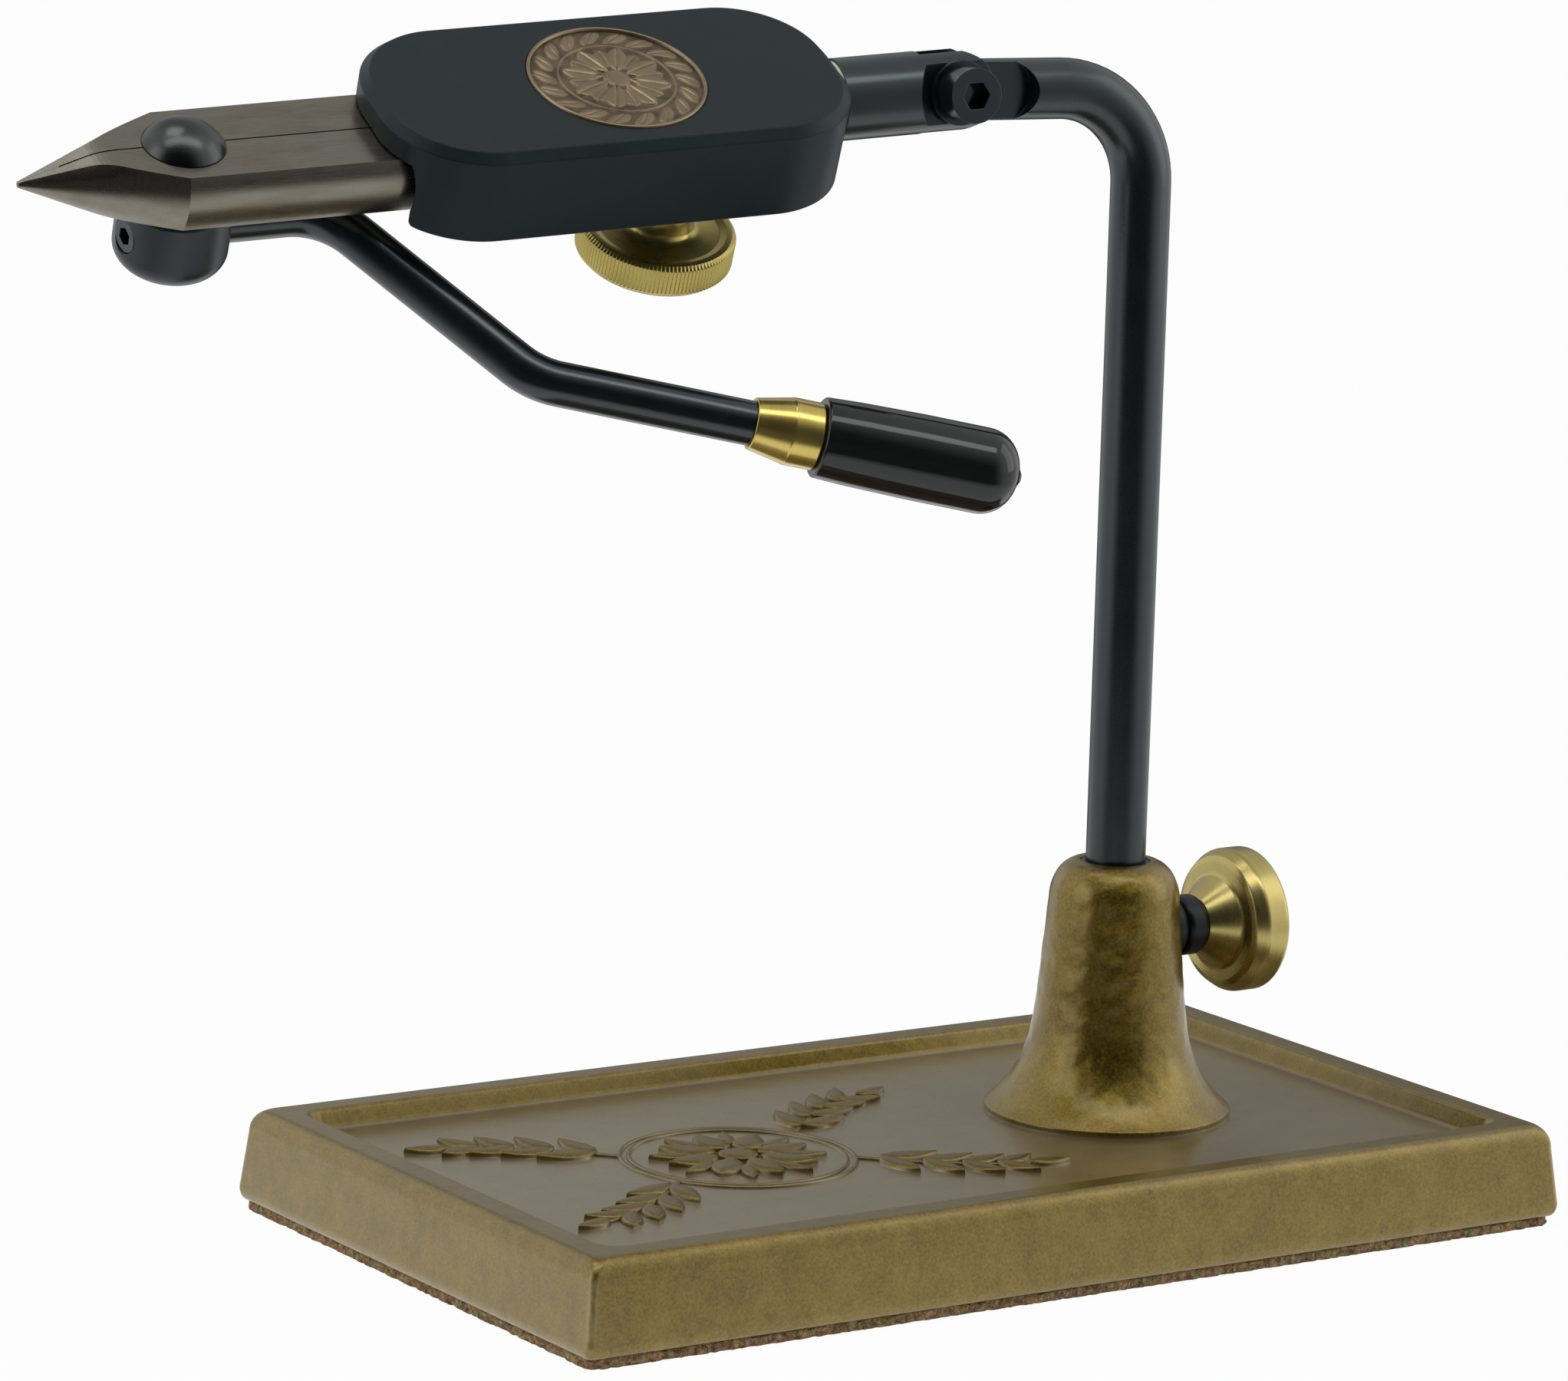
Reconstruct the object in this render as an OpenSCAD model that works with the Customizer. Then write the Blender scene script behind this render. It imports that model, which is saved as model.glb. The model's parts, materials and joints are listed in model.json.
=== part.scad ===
// Fly tying vise on a pedestal base, head turned, tilted and swung as in use
// Origin: centre of the cork's underside. Z up, X along the base, the stem towards +X

/* [Base] */
// Length of the base at its foot
base_l = 180; // [150:1:240]
// Width of the base at its foot
base_w = 105; // [85:1:150]
// Height of the rim above the table
base_h = 16.2; // [14:0.1:22]
// Thickness of the cork sheet
cork_t = 1.6; // [0.8:0.1:3]
// How far the cork stays in from the base's edge
cork_inset = 0.7; // [0.2:0.1:2]
// Draft of the base's sides, per side
base_draft = 1; // [0.5:0.1:4]
// Radius of the base's upright corners
base_corner_r = 3; // [2.6:0.1:9]
// Rounding of the rim's outer top edge
rim_round = 2.4; // [0.6:0.1:2.4]
// Width of the rim at its top
rim_w = 6.2; // [4:0.1:10]
// Depth of the tray below the rim
tray_depth = 3.1; // [2:0.1:5]
// How far the tray's walls slope in
tray_slope = 1.5; // [0.5:0.1:4]
// Corner radius of the tray floor
tray_corner_r = 2; // [1:0.5:6]

/* [Tower] */
// Stem axis, measured from the middle of the base
stem_x = 39.1; // [0:0.1:45]
// Height of the tower above the tray floor
tower_h = 40.8; // [34:0.1:60]
// Radius of the tower's foot
tower_foot_r = 19.75; // [17:0.05:24]
// Height of the lip round the foot
tower_lip_h = 0.9; // [0.4:0.1:2]
// Radius where the flare ends
tower_waist_r = 12.3; // [11.5:0.1:15]
// Height of the flare
tower_flare_h = 10.9; // [6:0.1:14]
// Radius at the shoulder
tower_top_r = 10.4; // [10.3:0.1:11.4]
// Width of the round shoulder
tower_shoulder_r = 4.6; // [2:0.1:4.7]
// Height of the round shoulder
tower_shoulder_h = 6.4; // [3:0.1:8]

/* [Stem] */
// Diameter of the stem, 3/8 inch rod
stem_d = 9.525; // [8:0.005:11]
// Height of the arm's axis above the table
arm_h = 176.6; // [140:0.1:230]
// Centre line radius of the bend
bend_r = 15; // [11:0.5:17]
// From the stem's axis to the tilt screw
arm_reach = 34.7; // [31:0.05:45]
// How deep the stem stands in the tower
stem_depth = 39; // [28:0.5:39]
// Travel left below the stem
stem_drop = 6; // [2:0.5:6]
// Wall of the split bush round the stem
bush_wall = 0.65; // [0.5:0.05:1]
// Length of the bush
bush_l = 29; // [16:0.5:30]
// Width of the bush's slit
bush_slit = 1.2; // [0.6:0.1:2]

/* [Clamp knob] */
// Height of the clamp screw below the tower's top
clamp_drop = 12; // [11:0.1:16]
// Radius of the boss that the knob screws into
boss_r = 4.3; // [3.8:0.1:7]
// How far the boss's face stands out past the shoulder
boss_proud = 1.3; // [1:0.1:3]
// Diameter of the clamp stud
clamp_stud_d = 5; // [4:0.5:6]
// Outer diameter of the O-ring
oring_d = 9.8; // [9.4:0.1:12]
// Length of the O-ring along the stud
oring_t = 4.1; // [3.4:0.1:6]
// Rounding of the O-ring's outer corners
oring_round = 1.6; // [0.5:0.1:1.7]
// Diameter of the clamp knob
clamp_knob_d = 23.2; // [18:0.1:30]
// Thickness of the knob's disc
clamp_disc_t = 6.4; // [3.8:0.1:8]
// Length of the knob's cone
clamp_cone_l = 4.4; // [3:0.1:10]
// Diameter of the cone at the disc
clamp_cone_d = 15.4; // [11:0.1:18]
// Diameter of the cone at the O-ring
clamp_neck_d = 8.6; // [7:0.1:9.8]
// Rounding of the disc's rim
clamp_rim_round = 1.6; // [0.5:0.1:1.8]

/* [Tilt joint] */
// Diameter of the shaft
shaft_d = 12.7; // [11:0.1:15]
// From the tilt screw to the head's rear face
shaft_l = 20.2; // [18:0.05:40]
// Thickness of the stem's tongue
tongue_t = 3.7; // [3:0.1:4.5]
// Where the tongue's flats start to run out, from the tilt screw
tongue_l = 9; // [8.6:0.1:11]
// Depth of the near ear's spot face
spot_depth = 2.1; // [1:0.1:2.2]
// Radius of the spot face
spot_r = 7.2; // [7:0.1:8.5]
// Diameter of the tilt screw's thread
tilt_screw_d = 5; // [4:0.5:5]
// Diameter of the tilt screw's head
tilt_head_d = 8.5; // [7.6:0.1:9.2]
// Height of the tilt screw's head
tilt_head_h = 5; // [3:0.1:7]
// Width across flats of its hex socket
tilt_hex = 4; // [3:0.5:4.5]
// Thickness of the washer
washer_t = 1.1; // [0.6:0.1:1.6]
// Diameter of the washer
washer_d = 10; // [9.4:0.1:11]
// Diameter of the journal inside the head
journal_d = 9.5; // [8:0.1:10]
// Wall left in the head between the jaws' pocket and the journal's bore
journal_wall = 9.55; // [7:0.05:13]
// Thickness of the thrust washer behind the head
thrust_t = 0.5; // [0.3:0.05:1]

/* [Head] */
// Length of the head
head_l = 75.5; // [72:0.1:84]
// Width of the head
head_w = 35.9; // [34.8:0.1:42]
// Thickness of the head
head_t = 15; // [14.4:0.1:18]
// Radius of the head's round corners
head_corner_r = 15; // [13:0.1:15.4]
// Chamfer round the top face
head_chamfer = 1.4; // [0.4:0.1:1.6]
// Extra room beside the jaws where they leave the head
mouth_gap = 1.2; // [0:0.1:1.6]
// Chamfer round the bottom face
head_bevel = 0.3; // [0.2:0.1:1.2]
// Diameter of the medallion
medal_d = 27.4; // [20:0.1:29]
// Thickness of the medallion
medal_t = 1.3; // [0.8:0.1:1.5]
// How far the medallion stands proud
medal_proud = 0.35; // [0.1:0.05:0.6]
// Middle of the medallion behind the middle of the head
medal_x = 1.3; // [-6:0.1:6]
// Width of the medallion's raised rim
medal_rim = 1.1; // [0.6:0.1:2]
// Number of petals in the medallion's rosette
medal_petals = 12; // [6:1:16]

/* [Head knob] */
// Middle of the head knob behind the middle of the head
knob_x = 12.9; // [8:0.1:15]
// Diameter of the knurled disc
knob_d = 24.4; // [18:0.1:26]
// Thickness of the knurled disc
knob_t = 5.8; // [4:0.1:9]
// Length of the knob's hub
knob_hub_l = 12.1; // [8:0.1:14]
// Diameter of the knob's hub
knob_hub_d = 10; // [8:0.1:12]
// Diameter of the knob's stud
knob_stud_d = 5; // [4:0.5:6]
// Chamfer of the knurled disc
knob_chamfer = 0.7; // [0.2:0.1:1.2]
// Number of knurl grooves
knurls = 60; // [30:1:72]

/* [Jaws] */
// Diameter of the bar that the jaws are turned from
jaw_bar_d = 19.8; // [19:0.1:20.6]
// Thickness of the jaws across their flats
jaw_t = 9.1; // [8.6:0.1:9.4]
// How far the jaws lie below the middle of the head
jaw_drop = 2.1; // [1.9:0.1:2.2]
// How far the tips stand out of the head
jaw_reach = 54.1; // [50:0.1:66]
// Length of the turned cone
jaw_cone_l = 22.9; // [18:0.1:23.5]
// Radius of the very tip
jaw_tip_r = 0.45; // [0.3:0.05:0.9]
// Length of the sloping flats behind the tip
jaw_facet_l = 12; // [9:0.1:14]
// Radius that blends the sloping flats into the level ones
jaw_blend_r = 14; // [4:0.5:20]
// Gap of the relieved seam between the halves
seam_gap = 0.28; // [0.06:0.02:0.3]
// Length of the tip where the halves meet
tip_land_l = 6; // [3:0.5:9]
// From the tip to the cam pin
cam_back = 25; // [24.4:0.1:30]

/* [Cam and lever] */
// Diameter of the domed button
dome_d = 12.6; // [11.4:0.1:14]
// Height of the domed button
dome_h = 3.4; // [2:0.1:4.5]
// Length of the oval cam
cam_long = 9; // [8:0.1:10]
// Width of the oval cam
cam_short = 3.8; // [3:0.1:4.4]
// Diameter of the pin in the collar
cam_shank_d = 5; // [4:0.1:6]
// Diameter of the collar
collar_d = 17.2; // [15:0.1:20]
// Height of the collar
collar_h = 11.7; // [10.5:0.1:14]
// Rounding of the collar's lower edge
collar_round = 3.4; // [1:0.1:3.4]
// Diameter of the collar's set screw
set_screw_d = 5; // [4:0.5:5]
// Turn of the set screw out of the lever's line
set_screw_turn = 12; // [0:1:30]
// Diameter of the lever rod
rod_d = 6.8; // [5.5:0.1:7]
// Depth of the rod's axis below the jaws
rod_drop = 5.05; // [4.6:0.05:6]
// From the cam pin to the lever's first bend
lever_l1 = 23.8; // [22:0.1:28]
// From the first bend to the second
lever_l2 = 40.5; // [34:0.1:46]
// From the second bend to the ferrule
lever_l3 = 33.4; // [26:0.1:44]
// Angle of the first bend
lever_bend1 = 54.5; // [45:0.5:60]
// Angle of the rod's last stretch to the head
lever_end_angle = 20.4; // [14:0.1:24]
// How far the bent lever dips below the head's plane
lever_dip = 21.1; // [18:0.1:24]
// Centre line radius of the lever's bends
lever_bend_r = 12; // [8:0.5:14]
// Length of the ferrule
ferrule_l = 10.4; // [8:0.1:14]
// Diameter of the ferrule's small end
ferrule_d1 = 7.8; // [7.4:0.1:8.4]
// Diameter of the ferrule's large end
ferrule_d2 = 10.2; // [9:0.1:11]
// Length of the dipped grip
grip_l = 32; // [24:0.1:50]
// Diameter of the grip at the ferrule
grip_d1 = 12.4; // [11.4:0.1:14]
// Diameter of the grip near its end
grip_d2 = 13.2; // [12:0.1:16]

/* [Pose] */
// Swing of the arm round the stem
arm_swing = -7.5; // [-20:0.5:20]
// Tilt of the head, jaws lower than the screw
head_tilt = 3.8; // [-10:0.1:15]
// Turn of the head on its shaft
head_roll = 27.4; // [0:0.1:40]

/* [Hidden] */
$fn = 96;
hull_fn = 32;
arc_steps = 8;
rim_steps = 4;
blend_steps = 6;

// Overrun of every cut past the face that it leaves
cut = 1;
// Radial clearance of what turns or slides in a hole
run_fit = 0.05;
// Radial clearance of what is pressed or screwed in
seat_fit = 0.02;
// Gap between flat faces that slide on each other
slide_gap = 0.1;
// Gap between pieces that move past each other
free_gap = 0.3;

// Share of a right angle that the tower's flare leaves out at its foot
flare_start_share = 0.35;
// Other shares of the sizes that their names tell
hex_depth_share = 0.55;
ferrule_cone_share = 0.55;
rod_in_grip_share = 0.6;
knurl_share = 0.38;
petal_place_share = 0.64;
petal_size_share = 0.09;
medal_core_share = 0.22;

// Base, tower and stem
tray_z = base_h - tray_depth;
tower_top_z = tray_z + tower_h;
stem_r = stem_d/2;
bush_r = stem_r + run_fit + bush_wall;
bush_foot_z = tower_top_z - bush_l;
stem_foot_z = tower_top_z - stem_depth;
well_r = stem_r + free_gap;
well_z = stem_foot_z - stem_drop;

// Clamp screw, measured from the stem's axis
clamp_z = tower_top_z - clamp_drop;
boss_face = tower_top_r + boss_proud;
oring_start = boss_face + free_gap;
knob_face = oring_start + oring_t;
disc_face = knob_face + clamp_cone_l;
disc_end = disc_face + clamp_disc_t;
clamp_tip = bush_r + free_gap;

// Tilt joint, measured from the tilt screw
ear_flat = shaft_d/2 - spot_depth;
slot_w = tongue_t + 2*slide_gap;
slot_root = stem_r + 2*free_gap;
washer_seat = ear_flat + washer_t;
shoulder_x = shaft_l - thrust_t - slide_gap;
groove_w = knob_stud_d + 2*free_gap;
groove_depth = 0.9;
groove_r = journal_d/2 - groove_depth;

// Head, measured from its middle
head_top = head_t/2;
head_front = -head_l/2;
knob_top = -head_top - free_gap;
shoe_t = 1.5;
shoe_top = -groove_r - slide_gap;
stud_top = shoe_top - shoe_t - slide_gap;
hub_fillet = 1.6;
knurl_side = knob_d*PI/knurls*knurl_share;
medal_floor = head_top + medal_proud - medal_t;
medal_relief = 0.35;

// Jaws, pins and cover, measured from the middle of the head
jaw_top = jaw_t/2 - jaw_drop;
jaw_bottom = -jaw_t/2 - jaw_drop;
tip_x = head_front - jaw_reach;
cone_x = tip_x + jaw_cone_l;
tip_gap = 0.04;
facet_angle = atan((jaw_t/2 - jaw_tip_r)/jaw_facet_l);
facet_rise = tan(facet_angle);
facet_end = jaw_facet_l + jaw_blend_r*tan(facet_angle/2);
slot_side_gap = 1;
slot_r = jaw_bar_d/2 + slot_side_gap;
slot_top = jaw_top + free_gap;
mouth_r = slot_r + mouth_gap;
mouth_w = mouth_r - free_gap;
mouth_round = 1.2;
pivot_inset = 17.75;
pivot_x = head_front + pivot_inset;
pivot_y = 5;
pivot_d = 3.4;
pin_blind = 2.4;
tail_l = 9;
tail_end = pivot_x + tail_l;
tail_relief = 3;
tail_gap = 0.2;
pocket_gap = 1.2;
pocket_end = tail_end + pocket_gap;
journal_l = head_l/2 - pocket_end - journal_wall;
cover_t = 1.7;
cover_front = pivot_x - tail_l;
cover_lap = 3;
cover_back = pocket_end + cover_lap;
cover_half_w = 14.9;
cover_screw_d = 2;
cover_screw_head_d = 3.8;
cover_screw_hex = 1.3;
cover_screw_cone = (cover_screw_head_d - cover_screw_d)/2;
cover_screw_inset = 3;
cover_screw_side = 2.4;
cover_screw_l = 4.5;
spring_d = 5.2;
spring_wire = 0.9;
spring_x = tail_end - spring_d/2 - tail_gap;

// Cam pin, collar and lever, measured from the middle of the head
cam_x = tip_x + cam_back;
cam_reach = (cam_long - cam_short)/2;
rod_z = jaw_bottom - rod_drop;
collar_top = jaw_bottom - free_gap;
collar_bottom = collar_top - collar_h;
collar_floor = 1.5;
collar_edge = 0.5;
dome_ball_r = (dome_d*dome_d/4 + dome_h*dome_h)/(2*dome_h);
turn1 = lever_bend1;
turn2 = lever_bend1 - lever_end_angle;
rod_start = cam_shank_d/2 + seat_fit;
run1 = lever_l1 - lever_bend_r*tan(turn1/2);
run2 = lever_l2 - lever_bend_r*(tan(turn1/2) + tan(turn2/2));
run3 = lever_l3 - lever_bend_r*tan(turn2/2);
seam_proud = 0.02;
seam_half_l = 0.3;
grip_nose = 6.5;
nipple_r = 2.2;
nipple_h = 1.6;

// Where the parts of the head's chain stand
module at_stem() translate([stem_x, 0, 0]) children();
module at_clamp() at_stem() translate([0, 0, clamp_z]) rotate([0, 90, 0]) children();
module at_arm() at_stem() translate([0, 0, arm_h]) rotate([0, 0, arm_swing]) children();
module at_tilt() at_arm() translate([-arm_reach, 0, 0]) rotate([0, -head_tilt, 0]) children();
module at_head() at_tilt() rotate([head_roll, 0, 0])
    translate([-shaft_l - head_l/2, 0, 0]) children();
module at_lever() at_head() translate([cam_x, 0, rod_z]) rotate([lever_dip, 0, 0]) children();

// Cylinder along Y from y1 to y2
module y_cyl(r, y1, y2) translate([0, y1, 0]) rotate([-90, 0, 0]) cylinder(r = r, h = y2 - y1);

// Cylinder along X from x1 to x2
module x_cyl(r, x1, x2) translate([x1, 0, 0]) rotate([0, 90, 0]) cylinder(r = r, h = x2 - x1);

// Hexagonal socket of width w between its flats
module hex_socket(w, depth) cylinder(r = w/2/cos(30), h = depth, $fn = 6);

// Block with round upright corners
module round_plate(l, w, r, h) hull() for (sx = [-1, 1], sy = [-1, 1])
    translate([sx*(l/2 - r), sy*(w/2 - r), 0]) cylinder(r = r, h = h, $fn = hull_fn);

module cork_pad() color("peru")
    round_plate(base_l - 2*cork_inset, base_w - 2*cork_inset, base_corner_r - cork_inset, cork_t);

// Drafted block with round corners and a rounded top edge
module base_block() hull() for (sx = [-1, 1], sy = [-1, 1]) {
    translate([sx*(base_l/2 - base_corner_r), sy*(base_w/2 - base_corner_r), cork_t])
        cylinder(r = base_corner_r, h = slide_gap, $fn = hull_fn);
    translate([sx*(base_l/2 - base_draft - base_corner_r), sy*(base_w/2 - base_draft - base_corner_r),
        base_h - rim_round]) for (a = [0:90/rim_steps:90])
            cylinder(r = base_corner_r - rim_round*(1 - cos(a)),
                h = slide_gap + (rim_round - slide_gap)*sin(a), $fn = hull_fn);
}

module tray_cut() {
    l = base_l - 2*base_draft - 2*rim_w;
    w = base_w - 2*base_draft - 2*rim_w;
    top_r = tray_corner_r + tray_slope;
    hull() for (sx = [-1, 1], sy = [-1, 1]) {
        translate([sx*(l/2 - top_r), sy*(w/2 - top_r), tray_z])
            cylinder(r = tray_corner_r, h = tray_slope/2, $fn = hull_fn);
        translate([sx*(l/2 - top_r), sy*(w/2 - top_r), base_h])
            cylinder(r = top_r, h = cut, $fn = hull_fn);
    }
}

// Half outline of the tower: lip, hollow flare, straight taper and round shoulder
function tower_outline() = let (a0 = 90*flare_start_share)
    concat([[0, cork_t], [tower_foot_r, cork_t], [tower_foot_r, tray_z + tower_lip_h]],
        [for (i = [1:arc_steps]) let (a = a0 + (90 - a0)*i/arc_steps)
            [tower_waist_r + (tower_foot_r - tower_waist_r)*(1 - sin(a))/(1 - sin(a0)),
             tray_z + tower_lip_h + (tower_flare_h - tower_lip_h)*(cos(a0) - cos(a))/cos(a0)]],
        [for (i = [0:arc_steps]) let (a = 90*i/arc_steps)
            [tower_top_r - tower_shoulder_r*(1 - cos(a)), tower_top_z - tower_shoulder_h*(1 - sin(a))]],
        [[0, tower_top_z]]);

module base_casting() color("darkkhaki") difference() {
    union() {
        difference() {
            base_block();
            tray_cut();
        }
        at_stem() rotate_extrude() polygon(tower_outline());
        at_clamp() cylinder(r = boss_r, h = boss_face);
    }
    at_stem() translate([0, 0, bush_foot_z]) cylinder(r = bush_r + run_fit, h = tower_h + cut);
    at_stem() translate([0, 0, well_z]) cylinder(r = well_r, h = tower_h);
    at_clamp() cylinder(r = clamp_stud_d/2 + run_fit, h = boss_face + cut);
}

// Quarter round at the lower (s = -1) or upper (s = 1) outer corner of a turned outline
function corner_round(x, y, r, s) = [for (i = [0:arc_steps])
    let (a = s < 0 ? 90*i/arc_steps : 90 - 90*i/arc_steps)
        [x - r*(1 - sin(a)), y - s*r*(1 - cos(a))]];

// Smooth thumb knob: cone and disc with a rounded rim, turned about its own axis
module clamp_knob() color("gold") at_clamp() rotate_extrude() polygon(concat(
    [[0, knob_face], [clamp_neck_d/2, knob_face], [clamp_cone_d/2, disc_face]],
    corner_round(clamp_knob_d/2, disc_face, clamp_rim_round, -1),
    corner_round(clamp_knob_d/2, disc_end, clamp_rim_round, 1),
    [[0, disc_end]]));

module clamp_stud() color("goldenrod") at_clamp()
    translate([0, 0, clamp_tip]) cylinder(r = clamp_stud_d/2, h = knob_face - clamp_tip);

module clamp_o_ring() color("black") at_clamp() translate([0, 0, oring_start]) difference() {
    rotate_extrude() polygon(concat([[0, 0]], corner_round(oring_d/2, 0, oring_round, -1),
        corner_round(oring_d/2, oring_t, oring_round, 1), [[0, oring_t]]));
    translate([0, 0, -cut]) cylinder(r = clamp_stud_d/2 + run_fit, h = oring_t + 2*cut);
}

module stem_bush() color("dimgray") at_stem() difference() {
    translate([0, 0, bush_foot_z + slide_gap])
        cylinder(r = bush_r, h = bush_l - slide_gap - free_gap);
    translate([0, 0, well_z]) cylinder(r = stem_r + run_fit, h = tower_h + cut + stem_drop);
    translate([0, 0, well_z]) translate([0, -bush_slit/2, 0])
        cube([bush_r + cut, bush_slit, tower_h + cut + stem_drop]);
}

// Stem, bend and arm as one rod; the arm ends in a tongue with milled flats and a round end
module stem_arm() color("darkslategray") difference() {
    at_arm() {
        translate([0, 0, stem_foot_z - arm_h]) cylinder(r = stem_r, h = arm_h - stem_foot_z - bend_r);
        translate([-bend_r, 0, -bend_r]) rotate([90, 0, 0])
            rotate_extrude(angle = 90) translate([bend_r, 0]) circle(r = stem_r);
        x_cyl(stem_r, -arm_reach, -bend_r);
        translate([-arm_reach, 0, 0]) intersection() {
            x_cyl(stem_r, -stem_r, 0);
            y_cyl(stem_r, -stem_r, stem_r);
        }
    }
    at_arm() translate([-arm_reach, 0, 0]) for (s = [-1, 1]) mirror([0, s < 0 ? 1 : 0, 0]) {
        translate([-stem_r - cut, tongue_t/2, -stem_r - cut])
            cube([stem_r + cut + tongue_l, stem_r, stem_d + 2*cut]);
        translate([tongue_l, 0, 0]) y_cyl(stem_r, tongue_t/2, stem_r + cut);
    }
    at_arm() translate([-arm_reach, 0, 0])
        y_cyl(tilt_screw_d/2 + run_fit, -stem_r, stem_r);
}

// Forked shaft: journal in the head, shoulder, fork with round ears, spot face for the screw
module clevis_shaft() color("darkslategray") at_tilt() difference() {
    union() {
        x_cyl(shaft_d/2, -shoulder_x, 0);
        intersection() {
            x_cyl(shaft_d/2, 0, shaft_d/2);
            y_cyl(shaft_d/2, -shaft_d/2, shaft_d/2);
        }
        x_cyl(journal_d/2, -shaft_l - journal_l, -shoulder_x);
    }
    translate([-slot_root, -slot_w/2, -shaft_d]) cube([slot_root + shaft_d, slot_w, 2*shaft_d]);
    y_cyl(spot_r, -shaft_d, -ear_flat);
    y_cyl(tilt_screw_d/2 + seat_fit, -shaft_d, shaft_d);
    translate([-shaft_l - head_l/2 + knob_x, 0, 0]) difference() {
        x_cyl(journal_d/2 + cut, -groove_w/2, groove_w/2);
        x_cyl(groove_r, -groove_w/2 - cut, groove_w/2 + cut);
    }
}

module hinge_screw() color("black") at_tilt() difference() {
    union() {
        y_cyl(tilt_screw_d/2, -washer_seat, shaft_d/2 - free_gap);
        y_cyl(tilt_head_d/2, -washer_seat - tilt_head_h, -washer_seat);
    }
    translate([0, -washer_seat - tilt_head_h - cut, 0]) rotate([-90, 0, 0])
        hex_socket(tilt_hex, tilt_head_h*hex_depth_share + cut);
}

module hinge_washer() color("gray") at_tilt() difference() {
    y_cyl(washer_d/2, -washer_seat, -ear_flat);
    y_cyl(tilt_screw_d/2 + seat_fit, -washer_seat - cut, -ear_flat + cut);
}

module thrust_washer() color("black") at_tilt() difference() {
    x_cyl(shaft_d/2 - free_gap, -shoulder_x - thrust_t, -shoulder_x);
    x_cyl(journal_d/2 + seat_fit, -shoulder_x - thrust_t - cut, -shoulder_x + cut);
}

// Outline of the head's edge, from the round corner's centre outwards, with both chamfers
function edge_outline(r) = [[0, -head_top], [r - head_bevel, -head_top], [r, -head_top + head_bevel],
    [r, head_top - head_chamfer], [r - head_chamfer, head_top], [0, head_top]];

// Oblong block with round corners and chamfered edges
module head_block() {
    cx = head_l/2 - head_corner_r;
    cy = head_w/2 - head_corner_r;
    for (sx = [-1, 1], sy = [-1, 1]) translate([sx*cx, sy*cy, 0])
        rotate_extrude() polygon(edge_outline(head_corner_r));
    for (s = [0, 180]) rotate([0, 0, s]) {
        translate([-cx, cy, 0]) rotate([90, 0, 90]) linear_extrude(2*cx)
            polygon(edge_outline(head_corner_r));
        translate([cx, cy, 0]) rotate([90, 0, 0]) linear_extrude(2*cy)
            polygon(edge_outline(head_corner_r));
    }
    translate([-cx, -cy, -head_top]) cube([2*cx, 2*cy, head_t]);
}

// Places of the four cover screws
module at_cover_screws() for (x = [cover_front + cover_screw_inset, cover_back - cover_screw_inset],
    s = [-1, 1])
    translate([x, s*(cover_half_w - cover_screw_side), -head_top]) children();

module at_pivots() for (s = [-1, 1]) translate([pivot_x, s*pivot_y, 0]) children();

// Half outline of the slot's mouth under the jaws: upright wall with a rounded lower edge
function mouth_outline() = concat([[0, -jaw_drop], [mouth_w, -jaw_drop]],
    [for (i = [0:arc_steps]) let (a = 90*i/arc_steps)
        [mouth_w + mouth_round*(1 - cos(a)), mouth_round*(1 - sin(a)) - head_top]],
    [[mouth_w + mouth_round, -head_top - cut], [0, -head_top - cut]]);

module head_body() color("#2b2f33") at_head() difference() {
    head_block();
    for (s = [0, 1]) translate([head_front - cut, 0, 0]) mirror([0, s, 0]) rotate([90, 0, 90])
        linear_extrude(cut + cover_front - head_front) polygon(mouth_outline());
    intersection() {
        translate([0, 0, -jaw_drop]) {
            x_cyl(slot_r, head_front - cut, pocket_end);
            x_cyl(mouth_r, head_front - cut, cover_front);
        }
        translate([head_front - cut, -head_w, -head_t])
            cube([head_l + cut, 2*head_w, head_t + slot_top]);
    }
    translate([cover_front - slide_gap, -cover_half_w - slide_gap, -head_top - cut])
        cube([cover_back - cover_front + 2*slide_gap, 2*(cover_half_w + slide_gap), cut + cover_t]);
    x_cyl(journal_d/2 + run_fit, head_l/2 - journal_l - slide_gap, head_l/2 + cut);
    translate([knob_x, 0, -head_top - cut]) cylinder(r = knob_stud_d/2 + run_fit, h = head_top);
    translate([medal_x, 0, medal_floor]) cylinder(r = medal_d/2 + slide_gap, h = medal_t + cut);
    at_pivots() cylinder(r = pivot_d/2 + seat_fit, h = slot_top + pin_blind);
    at_cover_screws() cylinder(r = cover_screw_d/2, h = cover_screw_l + cut);
}

module head_cover() color("#34383c") at_head() difference() {
    translate([cover_front, -cover_half_w, -head_top])
        cube([cover_back - cover_front, 2*cover_half_w, cover_t]);
    at_pivots() translate([0, 0, -head_t]) cylinder(r = pivot_d/2 + seat_fit, h = head_t);
    at_cover_screws() {
        translate([0, 0, -cut]) cylinder(r = cover_screw_d/2 + seat_fit, h = cover_t + 2*cut);
        cylinder(r1 = cover_screw_head_d/2, r2 = cover_screw_d/2, h = cover_screw_cone);
    }
}

module cover_screws() color("black") at_head() at_cover_screws() difference() {
    union() {
        cylinder(r1 = cover_screw_head_d/2 - seat_fit, r2 = cover_screw_d/2 - seat_fit, h = cover_screw_cone);
        cylinder(r = cover_screw_d/2 - seat_fit, h = cover_screw_l);
    }
    translate([0, 0, -cut]) hex_socket(cover_screw_hex, cut + cover_screw_d*hex_depth_share);
}

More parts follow.
